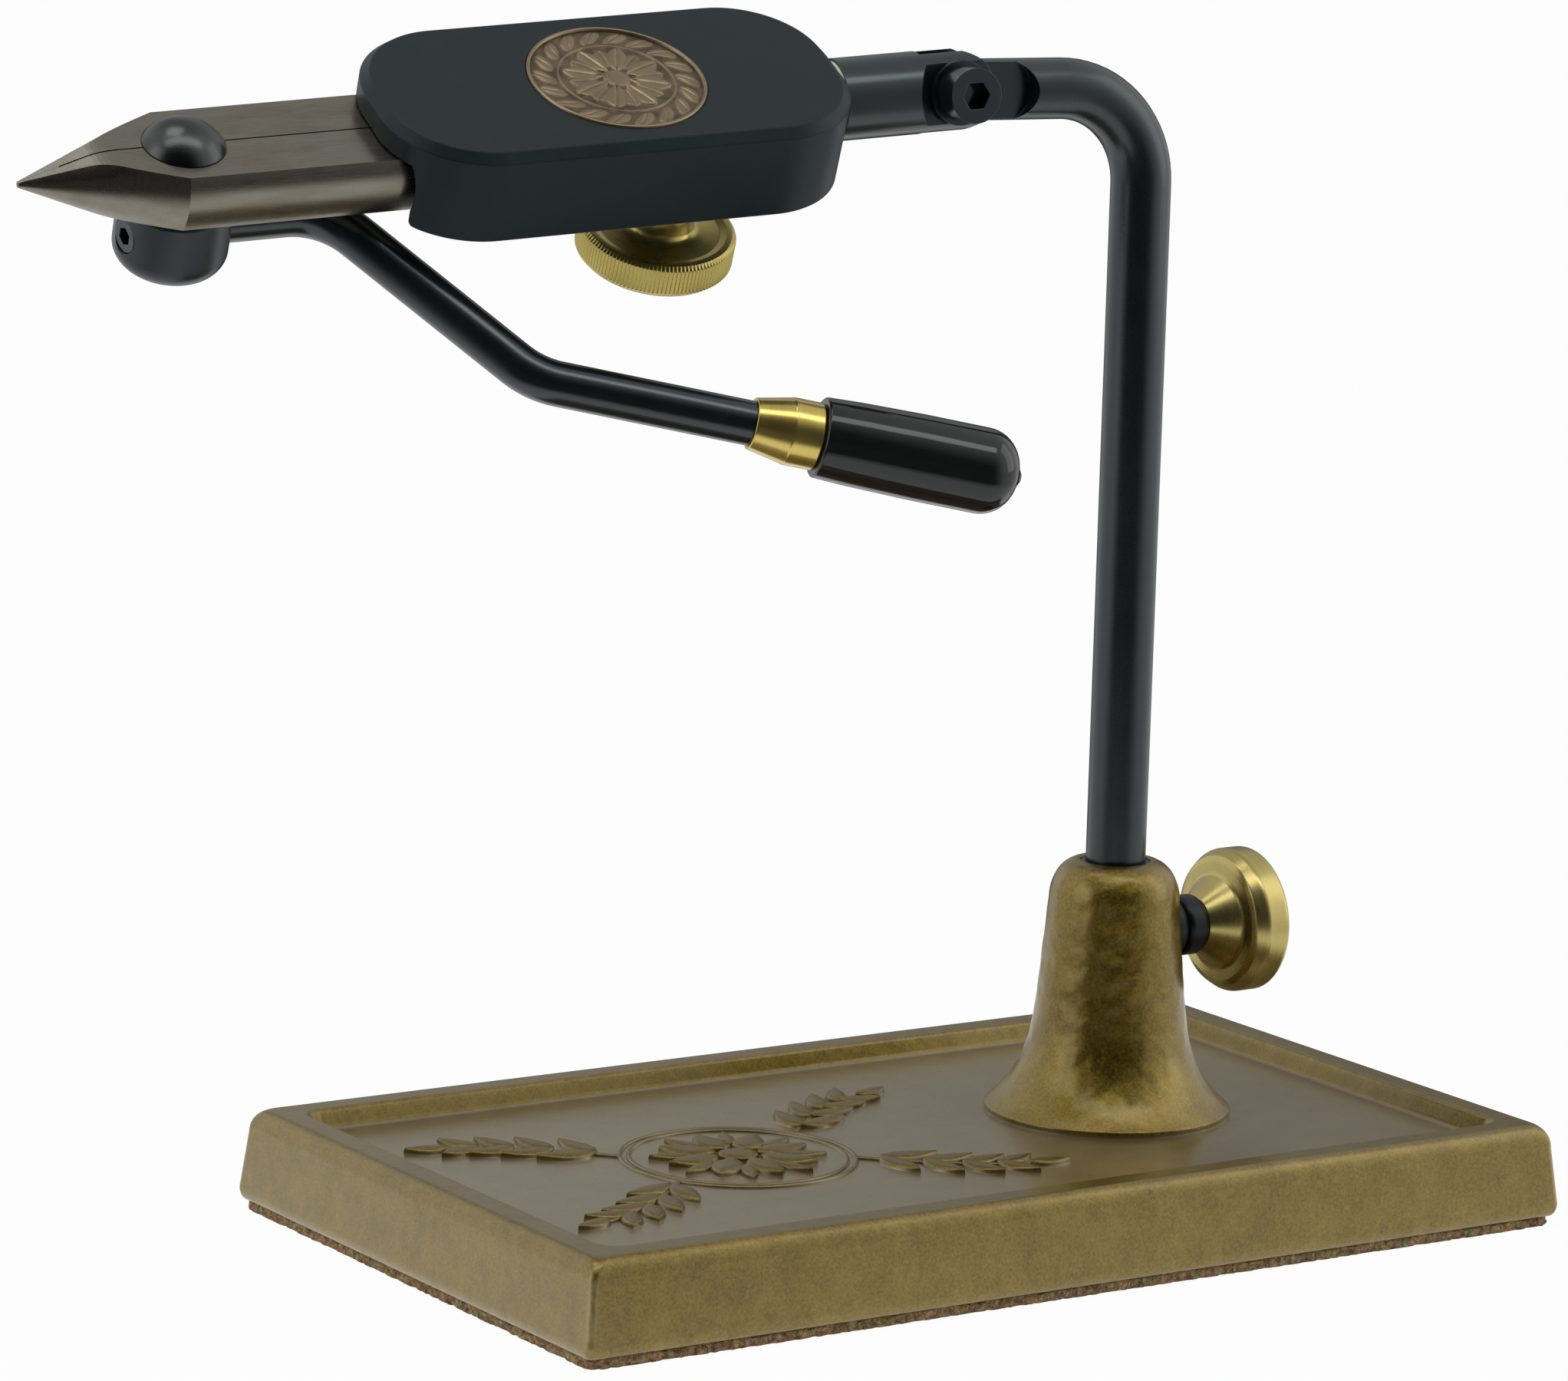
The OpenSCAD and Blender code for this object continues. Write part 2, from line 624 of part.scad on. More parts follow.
// Inlaid plate with a raised rim, a round core and a ring of petals
module medallion() color("#7a6244") at_head() translate([medal_x, 0, medal_floor]) {
    difference() {
        cylinder(r = medal_d/2, h = medal_t);
        translate([0, 0, medal_t - medal_relief])
            cylinder(r = medal_d/2 - medal_rim, h = medal_relief + cut);
    }
    translate([0, 0, medal_t - 2*medal_relief])
        cylinder(r = medal_d*medal_core_share/2, h = 2*medal_relief - slide_gap);
    for (i = [0:medal_petals - 1]) rotate([0, 0, 360*i/medal_petals])
        translate([medal_d*petal_place_share/2, 0, medal_t - 2*medal_relief])
            cylinder(r = medal_d*petal_size_share/2, h = 2*medal_relief - slide_gap);
}

module jaw_pivot_pins() color("silver") at_head() at_pivots() translate([0, 0, -head_top + slide_gap])
    cylinder(r = pivot_d/2, h = head_top + slot_top + pin_blind - 2*slide_gap);

// Coil spring shown as the plain sleeve that it fills
module closing_spring() color("silver") at_head() translate([spring_x, 0, -jaw_drop]) difference() {
    y_cyl(spring_d/2, -tail_relief + free_gap, tail_relief - free_gap);
    y_cyl(spring_d/2 - spring_wire, -tail_relief - cut, tail_relief + cut);
}

module brake_shoe() color("white") at_head() translate([knob_x, 0, shoe_top - shoe_t])
    cylinder(r = knob_stud_d/2 - slide_gap, h = shoe_t);

// Half outline of the knurled knob: chamfered disc, hollow hub fillet, straight hub
function knob_outline() = concat(
    [[0, 0], [knob_d/2 - knob_chamfer, 0], [knob_d/2, knob_chamfer], [knob_d/2, knob_t - knob_chamfer],
     [knob_d/2 - knob_chamfer, knob_t]],
    [for (i = [0:arc_steps]) let (a = 90 - 90*i/arc_steps)
        [knob_hub_d/2 + hub_fillet*(1 - cos(a)), knob_t + hub_fillet*(1 - sin(a))]],
    [[knob_hub_d/2, knob_t + knob_hub_l], [0, knob_t + knob_hub_l]]);

module head_knob() color("gold") at_head() translate([knob_x, 0, knob_top - knob_hub_l - knob_t])
    difference() {
        rotate_extrude() polygon(knob_outline());
        for (i = [1:knurls]) rotate([0, 0, 360*(i - 1/2)/knurls]) translate([knob_d/2, 0, -cut])
            rotate([0, 0, 45]) translate([-knurl_side/2, -knurl_side/2, 0])
                cube([knurl_side, knurl_side, knob_t + hub_fillet]);
    }

module head_knob_stud() color("goldenrod") at_head() translate([knob_x, 0, knob_top])
    cylinder(r = knob_stud_d/2, h = stud_top - knob_top);

// Oval of the cam, its round ends and its flat-sided middle, with play all round
module cam_oval(play, h) {
    r = cam_short/2 + play;
    for (s = [-1, 1]) translate([s*cam_reach, 0, 0]) cylinder(r = r, h = h);
    translate([-cam_reach, -r, 0]) cube([2*cam_reach, 2*r, h]);
}

// Outline of what is milled off above the jaw, measured from the tip: slope, blend, level
function facet_outline() = concat([[-cut, jaw_tip_r - cut*facet_rise]],
    [for (i = [0:blend_steps]) let (a = facet_angle*(1 - i/blend_steps))
        [facet_end - jaw_blend_r*sin(a), jaw_t/2 - jaw_blend_r*(1 - cos(a))]],
    [[facet_end, jaw_t], [-cut, jaw_t]]);

// Far jaw half: turned cone and bar with milled flats, sloping facets, half cam slot and thin tail
module jaw_half() difference() {
    intersection() {
        translate([0, 0, -jaw_drop]) union() {
            translate([tip_x, 0, 0]) rotate([0, 90, 0])
                cylinder(r1 = jaw_tip_r, r2 = jaw_bar_d/2, h = jaw_cone_l);
            x_cyl(jaw_bar_d/2, cone_x, tail_end);
        }
        translate([tip_x - cut, 0, jaw_bottom]) cube([tail_end - tip_x + 2*cut, jaw_bar_d, jaw_t]);
    }
    for (s = [0, 1]) translate([tip_x, jaw_bar_d, -jaw_drop]) mirror([0, 0, s]) rotate([90, 0, 0])
        linear_extrude(jaw_bar_d + cut) polygon(facet_outline());
    translate([tip_x + tip_land_l, -cut, -head_t]) cube([jaw_reach + head_l, cut + seam_gap/2, 2*head_t]);
    translate([tip_x - cut, -cut, -head_t]) cube([head_l, cut + tip_gap/2, 2*head_t]);
    translate([cam_x, 0, -head_t]) cam_oval(run_fit, 2*head_t);
    translate([cover_front - free_gap, -cut, -head_t])
        cube([head_l, jaw_bar_d, head_t - head_top + cover_t + tail_gap]);
    translate([pivot_x + pivot_d, -cut, -head_t]) cube([head_l, cut + tail_relief, 2*head_t]);
    translate([pivot_x, pivot_y, -head_t]) cylinder(r = pivot_d/2 + run_fit, h = 2*head_t);
}

module jaw_far() color("#6e685c") at_head() jaw_half();

module jaw_near() color("#787264") at_head() mirror([0, 1, 0]) jaw_half();

// Domed button, oval cam between the jaws and shank down into the collar
module cam_pin() color("#43464a") at_head() translate([cam_x, 0, 0]) {
    translate([0, 0, jaw_top + slide_gap]) intersection() {
        translate([0, 0, dome_h - dome_ball_r]) sphere(r = dome_ball_r);
        cylinder(r = dome_d/2, h = dome_h);
    }
    translate([0, 0, jaw_bottom]) cam_oval(0, jaw_t + slide_gap);
    translate([0, 0, collar_bottom + collar_floor])
        cylinder(r = cam_shank_d/2, h = jaw_bottom - collar_bottom - collar_floor);
}

// Drum under the jaws, bored for the pin, the lever and the set screw
module lever_collar() color("#24272b") at_head() translate([cam_x, 0, 0]) difference() {
    translate([0, 0, collar_bottom]) rotate_extrude() polygon(concat([[0, 0]],
        corner_round(collar_d/2, 0, collar_round, -1),
        [[collar_d/2, collar_h - collar_edge], [collar_d/2 - collar_edge, collar_h], [0, collar_h]]));
    translate([0, 0, collar_bottom + collar_floor])
        cylinder(r = cam_shank_d/2 + seat_fit, h = collar_h);
    translate([0, 0, rod_z]) x_cyl(rod_d/2 + seat_fit, 0, collar_d);
    at_set_screw() x_cyl(set_screw_d/2 + seat_fit, -collar_d, 0);
}

module at_set_screw() translate([0, 0, rod_z]) rotate([0, 0, set_screw_turn]) children();

module collar_set_screw() color("black") at_head() translate([cam_x, 0, 0]) at_set_screw() difference() {
    x_cyl(set_screw_d/2, free_gap - collar_d/2, -rod_start);
    translate([-collar_d/2, 0, 0]) rotate([0, 90, 0]) hex_socket(set_screw_d/2, set_screw_d/2);
}

// Moves children to the end of a bend of the given angle; a positive angle turns towards -Y
module after_bend(angle) translate([0, -sign(angle)*lever_bend_r, 0]) rotate([0, 0, -angle])
    translate([0, sign(angle)*lever_bend_r, 0]) children();

// Fine ring that joins a straight to a bend
module seam_ring() x_cyl(rod_d/2 + seam_proud, -seam_half_l, seam_half_l);

// The bend itself, starting at the origin along +X
module rod_bend(angle) {
    mirror([0, angle > 0 ? 1 : 0, 0]) translate([0, lever_bend_r, 0]) rotate([0, 0, -90])
        rotate_extrude(angle = abs(angle)) translate([lever_bend_r, 0]) circle(r = rod_d/2);
    seam_ring();
    after_bend(angle) seam_ring();
}

module at_lever_end() at_lever() translate([run1, 0, 0]) after_bend(turn1)
    translate([run2, 0, 0]) after_bend(-turn2) translate([run3, 0, 0]) children();

module lever_rod() color("#2c3034") at_lever() translate([run1, 0, 0]) {
    x_cyl(rod_d/2, rod_start - run1, 0);
    rod_bend(turn1);
    after_bend(turn1) {
        x_cyl(rod_d/2, 0, run2);
        translate([run2, 0, 0]) {
            rod_bend(-turn2);
            after_bend(-turn2) x_cyl(rod_d/2, 0, run3 + ferrule_l + grip_l*rod_in_grip_share);
        }
    }
}

// Ferrule: cone up to a short barrel, pushed over the rod
module lever_ferrule() color("gold") at_lever_end() rotate([0, 90, 0]) difference() {
    union() {
        cylinder(r1 = ferrule_d1/2, r2 = ferrule_d2/2 - slide_gap, h = ferrule_l*ferrule_cone_share);
        translate([0, 0, ferrule_l*ferrule_cone_share])
            cylinder(r = ferrule_d2/2, h = ferrule_l*(1 - ferrule_cone_share));
    }
    translate([0, 0, -cut]) cylinder(r = rod_d/2 + seat_fit, h = ferrule_l + 2*cut);
}

// Dipped grip: slightly flared tube with a round end and a small drip at its tip
module lever_grip() color("black") at_lever_end() translate([ferrule_l, 0, 0]) rotate([0, 90, 0])
    difference() {
        rotate_extrude() polygon(concat(
            [[0, 0], [grip_d1/2, 0], [grip_d2/2, grip_l - grip_nose]],
            [for (i = [1:arc_steps]) let (a = 90*i/arc_steps)
                [nipple_r + (grip_d2/2 - nipple_r)*cos(a),
                 grip_l - grip_nose + (grip_nose - nipple_h)*sin(a)]],
            [[0, grip_l]]));
        translate([0, 0, -cut])
            cylinder(r = rod_d/2 + seat_fit, h = cut + grip_l*rod_in_grip_share + seat_fit);
    }

cork_pad();
base_casting();
clamp_knob();
clamp_stud();
clamp_o_ring();
stem_bush();
stem_arm();
clevis_shaft();
hinge_screw();
hinge_washer();
thrust_washer();
head_body();
head_cover();
cover_screws();
medallion();
jaw_pivot_pins();
closing_spring();
brake_shoe();
head_knob();
head_knob_stud();
cam_pin();
lever_collar();
collar_set_screw();
lever_rod();
lever_ferrule();
lever_grip();
jaw_near();
jaw_far();
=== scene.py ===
import json
import math

import bmesh
import bpy
from mathutils import Matrix, Vector, noise

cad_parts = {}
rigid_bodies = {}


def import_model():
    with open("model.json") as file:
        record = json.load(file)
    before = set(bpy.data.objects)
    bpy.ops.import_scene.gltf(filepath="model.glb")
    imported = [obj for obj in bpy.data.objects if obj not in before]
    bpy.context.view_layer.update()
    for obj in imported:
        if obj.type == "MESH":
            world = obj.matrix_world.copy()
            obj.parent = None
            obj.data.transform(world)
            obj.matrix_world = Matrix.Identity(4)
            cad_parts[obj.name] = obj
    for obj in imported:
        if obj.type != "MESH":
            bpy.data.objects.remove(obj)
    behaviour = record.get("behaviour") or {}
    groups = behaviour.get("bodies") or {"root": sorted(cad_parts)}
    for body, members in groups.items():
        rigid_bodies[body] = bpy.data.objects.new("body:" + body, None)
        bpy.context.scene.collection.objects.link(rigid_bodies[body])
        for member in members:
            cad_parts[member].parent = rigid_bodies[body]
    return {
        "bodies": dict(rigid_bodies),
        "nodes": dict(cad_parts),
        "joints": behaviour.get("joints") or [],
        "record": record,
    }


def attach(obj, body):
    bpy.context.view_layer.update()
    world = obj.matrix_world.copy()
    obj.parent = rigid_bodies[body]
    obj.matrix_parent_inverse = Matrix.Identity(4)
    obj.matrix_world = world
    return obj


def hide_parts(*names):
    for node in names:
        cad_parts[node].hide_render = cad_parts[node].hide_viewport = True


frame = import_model()

bl_info = {
    "name": "Fly tying vise looks",
    "version": (1, 0, 0),
    "blender": (4, 5, 0),
    "location": "3D View > Sidebar > Vise",
    "description": "Dresses the fixed frame of a fly tying vise with its finishes and fine forms",
    "category": "Object",
}

MM = 0.001
NODES = frame["nodes"]
JOINTS = {joint["name"]: joint for joint in frame["joints"]}


# Places worked out from the frame

def place_of(joint):
    return Vector(JOINTS[joint]["pos_m"])


def basis(x_axis, z_axis, origin):
    """Placing matrix with these X and Z directions at a point"""
    x, z = Vector(x_axis).normalized(), Vector(z_axis).normalized()
    y = z.cross(x)
    placed = Matrix((x, y, z)).transposed().to_4x4()
    placed.translation = origin
    return placed


def shifted(placed, x=0.0, y=0.0, z=0.0):
    """A placing matrix moved along its own axes, in millimetres"""
    return placed @ Matrix.Translation(Vector((x, y, z)) * MM)


HEAD = basis(JOINTS["head_rotation"]["axis"], JOINTS["knob_turn"]["axis"], place_of("head_rotation"))
STEM = place_of("stem_swivel")
CLAMP = Matrix.Translation((STEM.x, 0, place_of("clamp_turn").z)) @ Matrix.Rotation(math.radians(90), 4, "Y")

# Sizes of the frame that the fine forms follow, in millimetres
BASE_L, BASE_W, BASE_H, CORK_T = 180, 105, 16.2, 1.6
BASE_DRAFT, BASE_CORNER, RIM_ROUND, RIM_W = 1.0, 1.1, 2.4, 6.2
TRAY_Z, TRAY_SLOPE, TRAY_CORNER = 13.1, 1.5, 2.0
TOWER_Z, FOOT_R, LIP_H, WAIST_R, FLARE_H = 53.9, 19.75, 0.9, 12.3, 10.9
TOP_R, SHOULDER_R, SHOULDER_H, BORE_R, BORE_Z = 10.4, 4.6, 6.4, 5.51, 24.9
WELL_R, WELL_Z = 5.06, 8.9
BOSS_R, BOSS_FACE, STUD_BORE_R = 4.3, 11.7, 2.55
COLLAR_X, COLLAR_R, COLLAR_FOOT, COLLAR_TOP = -66.85, 8.6, -18.65, -6.95
LEVER_Z, LEVER_R, LEVER_ROLL, GRIP_LAP = -11.7, 3.4, 21.1, 26.0
MEDAL_X, MEDAL_Z, MEDAL_R = 1.3, 6.55, 13.7
KNOB_X, KNOB_TOP, KNOB_R, KNOB_T, HUB_R, HUB_L = 12.9, -7.8, 12.2, 5.8, 5.0, 12.1
SPRING_X, SPRING_Z = -13.8, -2.1

# Signs of a rectangle's corners, in turn
CORNERS = ((1, 1), (-1, 1), (-1, -1), (1, -1))


def fine_size(name, description, default):
    """Property for a small length, in metres"""
    return bpy.props.FloatProperty(name=name, description=description, default=default, unit="LENGTH")


def hue(name, description, *light):
    """Property for a colour, as linear light"""
    return bpy.props.FloatVectorProperty(name=name, description=description, default=light, subtype="COLOR")


class ViseSizes(bpy.types.PropertyGroup):
    """Fine sizes that the looks add to the frame"""
    cork_ragged: fine_size("Cork edge", "How ragged the cork's cut edge is", 0.00045)
    jaw_edge: fine_size("Jaw edges", "Width of the jaws' broken edges", 0.0003)
    relief_h: fine_size("Tray relief", "Height of the ornament cast in the tray", 0.001)
    knurl: fine_size("Knurl", "Depth of the grooves round the head knob", 0.00018)
    hammer: fine_size("Cast skin", "Depth of the dimples in the cast tower", 0.00009)


class ViseFinish(bpy.types.PropertyGroup):
    """Colours of the finishes, as linear light"""
    gold: hue("Cast gold", "Bright flakes of the cast parts' paint", 0.25, 0.176, 0.024)
    olive: hue("Cast olive", "Dark ground of the cast parts' paint", 0.110, 0.073, 0.003)
    tray: hue("Tray", "Smooth paint of the tray's floor", 0.190, 0.150, 0.100)
    brass: hue("Brass", "Turned brass of the ferrule", 0.60, 0.465, 0.125)
    black: hue("Black steel", "Black oxide on stem, shaft and lever", 0.0058, 0.0085, 0.0090)
    head: hue("Head", "Black coat of the head", 0.0100, 0.0165, 0.0185)
    # Pale paint for the painted highlight down the base's upright corners, with some rubbed wear
    wear_and_highlight: hue("Corner highlight and wear", "Painted highlight and rubbed paint down the base's upright corners", 0.42, 0.36, 0.23)
    # Dark paint for the painted shade on the tray's relief and the rim's inner wall
    relief_shade: hue("Relief shade", "Painted shade on the tray's relief and inner wall", 0.040, 0.027, 0.003)
    knob_brass: hue("Head knob", "Duller brass of the knurled knob", 0.47, 0.38, 0.115)
    clamp_brass: hue("Thumb knob", "Brass of the smooth knob on the tower", 0.47, 0.385, 0.14)
    collar: hue("Collar", "Black of the drum under the jaws", 0.010, 0.0135, 0.0155)
    dome: hue("Button", "Dark steel of the domed button", 0.064, 0.069, 0.068)
    bright_steel: hue("Bright steel", "Pins, washers and the closing spring", 0.56, 0.56, 0.55)
    tanned: hue("Tanned steel", "Warmer patches on the jaws", 0.165, 0.142, 0.104)
    steel: hue("Jaw steel", "Bare hardened steel of the jaws", 0.225, 0.212, 0.180)
    bronze: hue("Medallion", "Antique bronze of the medallion", 0.245, 0.186, 0.108)
    vinyl: hue("Grip", "Dipped vinyl of the lever's grip", 0.006, 0.008, 0.007)
    rubber: hue("Rubber", "O-ring and sleeve beside the thumb knob", 0.003, 0.004, 0.008)
    cork: hue("Cork", "Granulated cork under the base", 0.33, 0.215, 0.09)


# Shader nodes

class Term:
    """A shader socket that takes part in arithmetic"""

    def __init__(self, shader, socket):
        self.shader = shader
        self.socket = socket

    def maths(self, operation, *values):
        return self.shader.add("ShaderNodeMath", {"operation": operation}, dict(enumerate(values)))

    def __add__(self, other):
        return self.maths("ADD", self, other)

    def __radd__(self, other):
        return self.maths("ADD", other, self)

    def __sub__(self, other):
        return self.maths("SUBTRACT", self, other)

    def __rsub__(self, other):
        return self.maths("SUBTRACT", other, self)

    def __mul__(self, other):
        return self.maths("MULTIPLY", self, other)

    def __rmul__(self, other):
        return self.maths("MULTIPLY", other, self)

    def __truediv__(self, other):
        return self.maths("DIVIDE", self, other)

    def __rtruediv__(self, other):
        return self.maths("DIVIDE", other, self)

    def __pow__(self, other):
        return self.maths("POWER", self, other)

    def __abs__(self):
        return self.maths("ABSOLUTE", self)

    def clamped(self):
        return self.shader.add("ShaderNodeClamp", {}, {0: self})

    def dot(self, direction):
        return self.shader.add(
            "ShaderNodeVectorMath", {"operation": "DOT_PRODUCT"}, {0: self, 1: tuple(direction)}, 1)

    def moved(self, offset):
        return self.shader.add(
            "ShaderNodeVectorMath", {"operation": "ADD"}, {0: self, 1: tuple(offset)})

    def stretched(self, factors):
        return self.shader.add(
            "ShaderNodeVectorMath", {"operation": "MULTIPLY"}, {0: self, 1: tuple(factors)})

    def length(self):
        return self.shader.add("ShaderNodeVectorMath", {"operation": "LENGTH"}, {0: self}, 1)


class Shader:
    """A material or world whose nodes are written as expressions"""

    def __init__(self, owner):
        owner.use_nodes = True
        self.owner = owner
        self.tree = owner.node_tree
        self.tree.nodes.clear()

    def add(self, kind, settings, values, output=0):
        """Adds a node: its type, its settings, then values or terms for its sockets"""
        node = self.tree.nodes.new(kind)
        for key, value in settings.items():
            if key == "stops":
                ramp = node.color_ramp
                while len(ramp.elements) < len(value):
                    ramp.elements.new(0.5)
                for element, (position, colour) in zip(ramp.elements, value):
                    element.position = position
                    element.color = (*colour, 1) if hasattr(colour, "__len__") else (colour,) * 3 + (1,)
            else:
                setattr(node, key, value)
        for key, value in values.items():
            if isinstance(value, Term):
                self.tree.links.new(value.socket, node.inputs[key])
            elif hasattr(value, "__len__") and node.inputs[key].type == "RGBA":
                node.inputs[key].default_value = (*value[:3], 1)
            else:
                node.inputs[key].default_value = value
        return Term(self, node.outputs[output]) if len(node.outputs) else None

    def place(self):
        """Point on the object in its own axes, in millimetres"""
        point = self.add("ShaderNodeTexCoord", {}, {}, "Object")
        return point.stretched((1 / MM,) * 3)

    def split(self, point):
        node = self.add("ShaderNodeSeparateXYZ", {}, {0: point})
        outputs = node.socket.node.outputs
        return [Term(self, outputs[i]) for i in range(3)]

    def joined(self, x, y, z):
        return self.add("ShaderNodeCombineXYZ", {}, {0: x, 1: y, 2: z})

    def rays(self):
        """Whether a ray comes from the camera, and whether from a mirroring or clear surface"""
        outputs = self.add("ShaderNodeLightPath", {}, {}).socket.node.outputs
        seen, glossy, through = (Term(self, outputs[f"Is {kind} Ray"])
                                 for kind in ("Camera", "Glossy", "Transmission"))
        return seen, (glossy + through).clamped()

    def noise(self, point, size, detail=2.0, roughness=0.5):
        """Noise whose features are about size millimetres, from 0 to 1"""
        return self.add("ShaderNodeTexNoise", {}, {
            "Vector": point, "Scale": 1 / size, "Detail": detail, "Roughness": roughness})

    def cells(self, point, size, feature="F1", output=0):
        return self.add("ShaderNodeTexVoronoi", {"feature": feature},
                        {"Vector": point, "Scale": 1 / size}, output)

    def ramp(self, value, *stops):
        return self.add("ShaderNodeValToRGB", {"stops": stops}, {0: value})

    def levels(self, value, low, high, to_low=0.0, to_high=1.0):
        """Maps low..high to to_low..to_high, held at both ends"""
        return self.add("ShaderNodeMapRange", {"clamp": True}, {
            0: value, 1: low, 2: high, 3: to_low, 4: to_high})

    def mix(self, share, first, second, blend="MIX"):
        return self.add("ShaderNodeMix", {"data_type": "RGBA", "blend_type": blend},
                        {0: share, 6: first, 7: second}, 2)

    def bump(self, height, depth, strength, normal=None):
        values = {"Height": height, "Distance": depth * MM, "Strength": strength}
        if normal:
            values["Normal"] = normal
        return self.add("ShaderNodeBump", {}, values)

    def soft_edge(self, radius):
        return self.add("ShaderNodeBevel", {"samples": 6}, {"Radius": radius * MM})

    def shaded(self, colour, shade):
        """A colour made darker or lighter by a term"""
        return self.mix(1.0, colour, self.joined(shade, shade, shade), "MULTIPLY")

    def finish(self, **values):
        """The surface itself, with socket names written with _ for a space"""
        values = {key.replace("_", " "): value for key, value in values.items()}
        surface = self.add("ShaderNodeBsdfPrincipled", {}, values)
        self.add("ShaderNodeOutputMaterial", {}, {0: surface})
        return self.owner


FINISHES = {}


def new_finish(name):
    return Shader(bpy.data.materials.new(name))


def colours():
    return bpy.context.scene.vise_finish


def sizes():
    return bpy.context.scene.vise_sizes


def behind_edge(s, x, y, full, none):
    """1 where a point is at least full millimetres in from all four side faces, 0 at none"""
    return (s.levels(abs(x), BASE_L / 2 - full, BASE_L / 2 - none, 1, 0)
            * s.levels(abs(y), BASE_W / 2 - full, BASE_W / 2 - none, 1, 0))


def cast_paint():
    """Bronze-gold metallic paint with a fine speckle, flowed out smooth on the tray's floor, with a painted
    highlight and some rubbed wear down the upright corners and painted shade on the tray's relief and inner
    wall
    """
    s = new_finish("cast_paint")
    point = s.place()
    x, y, z = s.split(point)
    floor_end, wall_top = (8.4, 7.2), (7.1, 6.7)
    corner_reach = (BASE_L + BASE_W) / 2
    tray = behind_edge(s, x, y, *floor_end) * s.levels(z, TRAY_Z + 0.1, TRAY_Z + 0.45, 1, 0)
    corner = abs(x) + abs(y) + s.levels(z, 3.6, 12.6, 0, 2 * BASE_DRAFT)
    # Painted highlight: a pale line down the upright corners where their rounded edges catch the light, with
    # some rubbed paint
    wear_and_highlight = s.levels(corner, corner_reach - 1.3, corner_reach - 0.6) * s.levels(z, 2.5, 5)
    from_tower = ((x - STEM.x / MM) ** 2 + y ** 2) ** 0.5
    away = s.levels(from_tower, FOOT_R + 0.5, FOOT_R + 1.5)
    below_rim = s.levels(z, BASE_H - 1.3, BASE_H - 0.2, 1, 0)
    # Painted shade: darker paint on the raised relief and the rim's inner wall, standing in for the shade
    # between them
    relief_shade = behind_edge(s, x, y, *wall_top) * away * s.levels(z, TRAY_Z + 0.15, TRAY_Z + 0.5) * below_rim
    tower = (1 - away) * s.levels(z, TRAY_Z + 0.2, TRAY_Z + 0.6)
    flakes = s.noise(point, 0.45, 3.0, 0.65)
    clouds = s.noise(point, 4.5, 3.0, 0.55)
    tone = s.levels(flakes * 0.72 + clouds * 0.28, 0.34, 0.66)
    # Mixes in the painted corner highlight, then the painted shade on the relief and inner wall
    rough_colour = s.mix(wear_and_highlight * 0.5, s.mix(tone, colours().olive, colours().gold), colours().wear_and_highlight)
    rough_colour = s.mix(relief_shade * 0.2, rough_colour, colours().relief_shade)
    drift = s.levels(s.noise(point, 14.0, 2.0, 0.5) * 0.4 + clouds * 0.6, 0.35, 0.65, 0.88, 1.1)
    skin_grain = s.noise(point, 1.1, 2.0, 0.5) * 0.06 + s.noise(point, 0.35, 2.0, 0.6) * 0.03
    dimples = s.noise(point, 2.9, 1.0, 0.4) * (0.25 + tower * 0.2)
    sag = s.noise(point, 5.0, 2.0, 0.5) * 0.07 + s.noise(point, 1.3, 2.0, 0.55) * 0.035
    return s.finish(
        Base_Color=s.mix(tray, rough_colour, s.shaded(colours().tray, drift)),
        Metallic=s.levels(tray, 0, 1, 0.95, 0.45),
        Roughness=s.levels(flakes, 0.3, 0.7, 0.38, 0.54) * (1 - tray * 0.25) * (1 - tower * 0.1),
        Coat_Weight=s.levels(tray, 0, 1, 0.85, 1.0) * (1 - relief_shade * 0.3) * (1 - tower * 0.25),
        Coat_Roughness=0.24, Coat_IOR=1.55, Coat_Tint=(1.0, 0.97, 0.78),
        Normal=s.bump((skin_grain + dimples) * (1 - tray) + sag * tray, 1.0, 0.65))


def turned(name, colour, rough, depth=0.012, metallic=1.0, coat=0.0, edge=0.14):
    """Metal turned about the piece's own axis: fine rings on faces and round sides"""
    s = new_finish(name)
    point = s.place()
    x, y, z = s.split(point)
    radius = (x * x + y * y) ** 0.5
    tool_pitch = 0.28
    rings = s.noise(s.joined(radius, z, 0.0), tool_pitch, 3.0, 0.7)
    smudge = s.noise(point, 3.5, 2.0, 0.5)
    shade = s.levels(rings * 0.55 + smudge * 0.45, 0.3, 0.7, 0.88, 1.08)
    return s.finish(
        Base_Color=s.shaded(colour, shade), Metallic=metallic, Coat_Weight=coat, Coat_Roughness=0.2,
        Roughness=s.levels(rings * 0.5 + smudge * 0.5, 0.3, 0.7, rough * 0.85, rough * 1.15),
        Normal=s.bump(rings, depth, 0.5, s.soft_edge(edge)))


def black_oxide(name, colour, rough=0.2, edge=0.16, ior=1.62, tint=(0.84, 0.95, 1.0)):
    """Satin black oxide on steel: faint clouds, fine scratches and softly rounded edges"""
    s = new_finish(name)
    point = s.place()
    clouds = s.noise(point, 6.0, 4.0, 0.55)
    grain = s.noise(point, 0.22, 2.0, 0.6)
    shade = s.levels(clouds * 0.7 + grain * 0.3, 0.32, 0.68, 0.82, 1.2)
    return s.finish(
        Base_Color=s.shaded(colour, shade), Metallic=0.0, IOR=ior, Specular_Tint=tint,
        Roughness=s.levels(clouds * 0.6 + grain * 0.4, 0.3, 0.7, rough * 0.85, rough * 1.15),
        Normal=s.bump(grain, 0.006, 0.35, s.soft_edge(edge)))


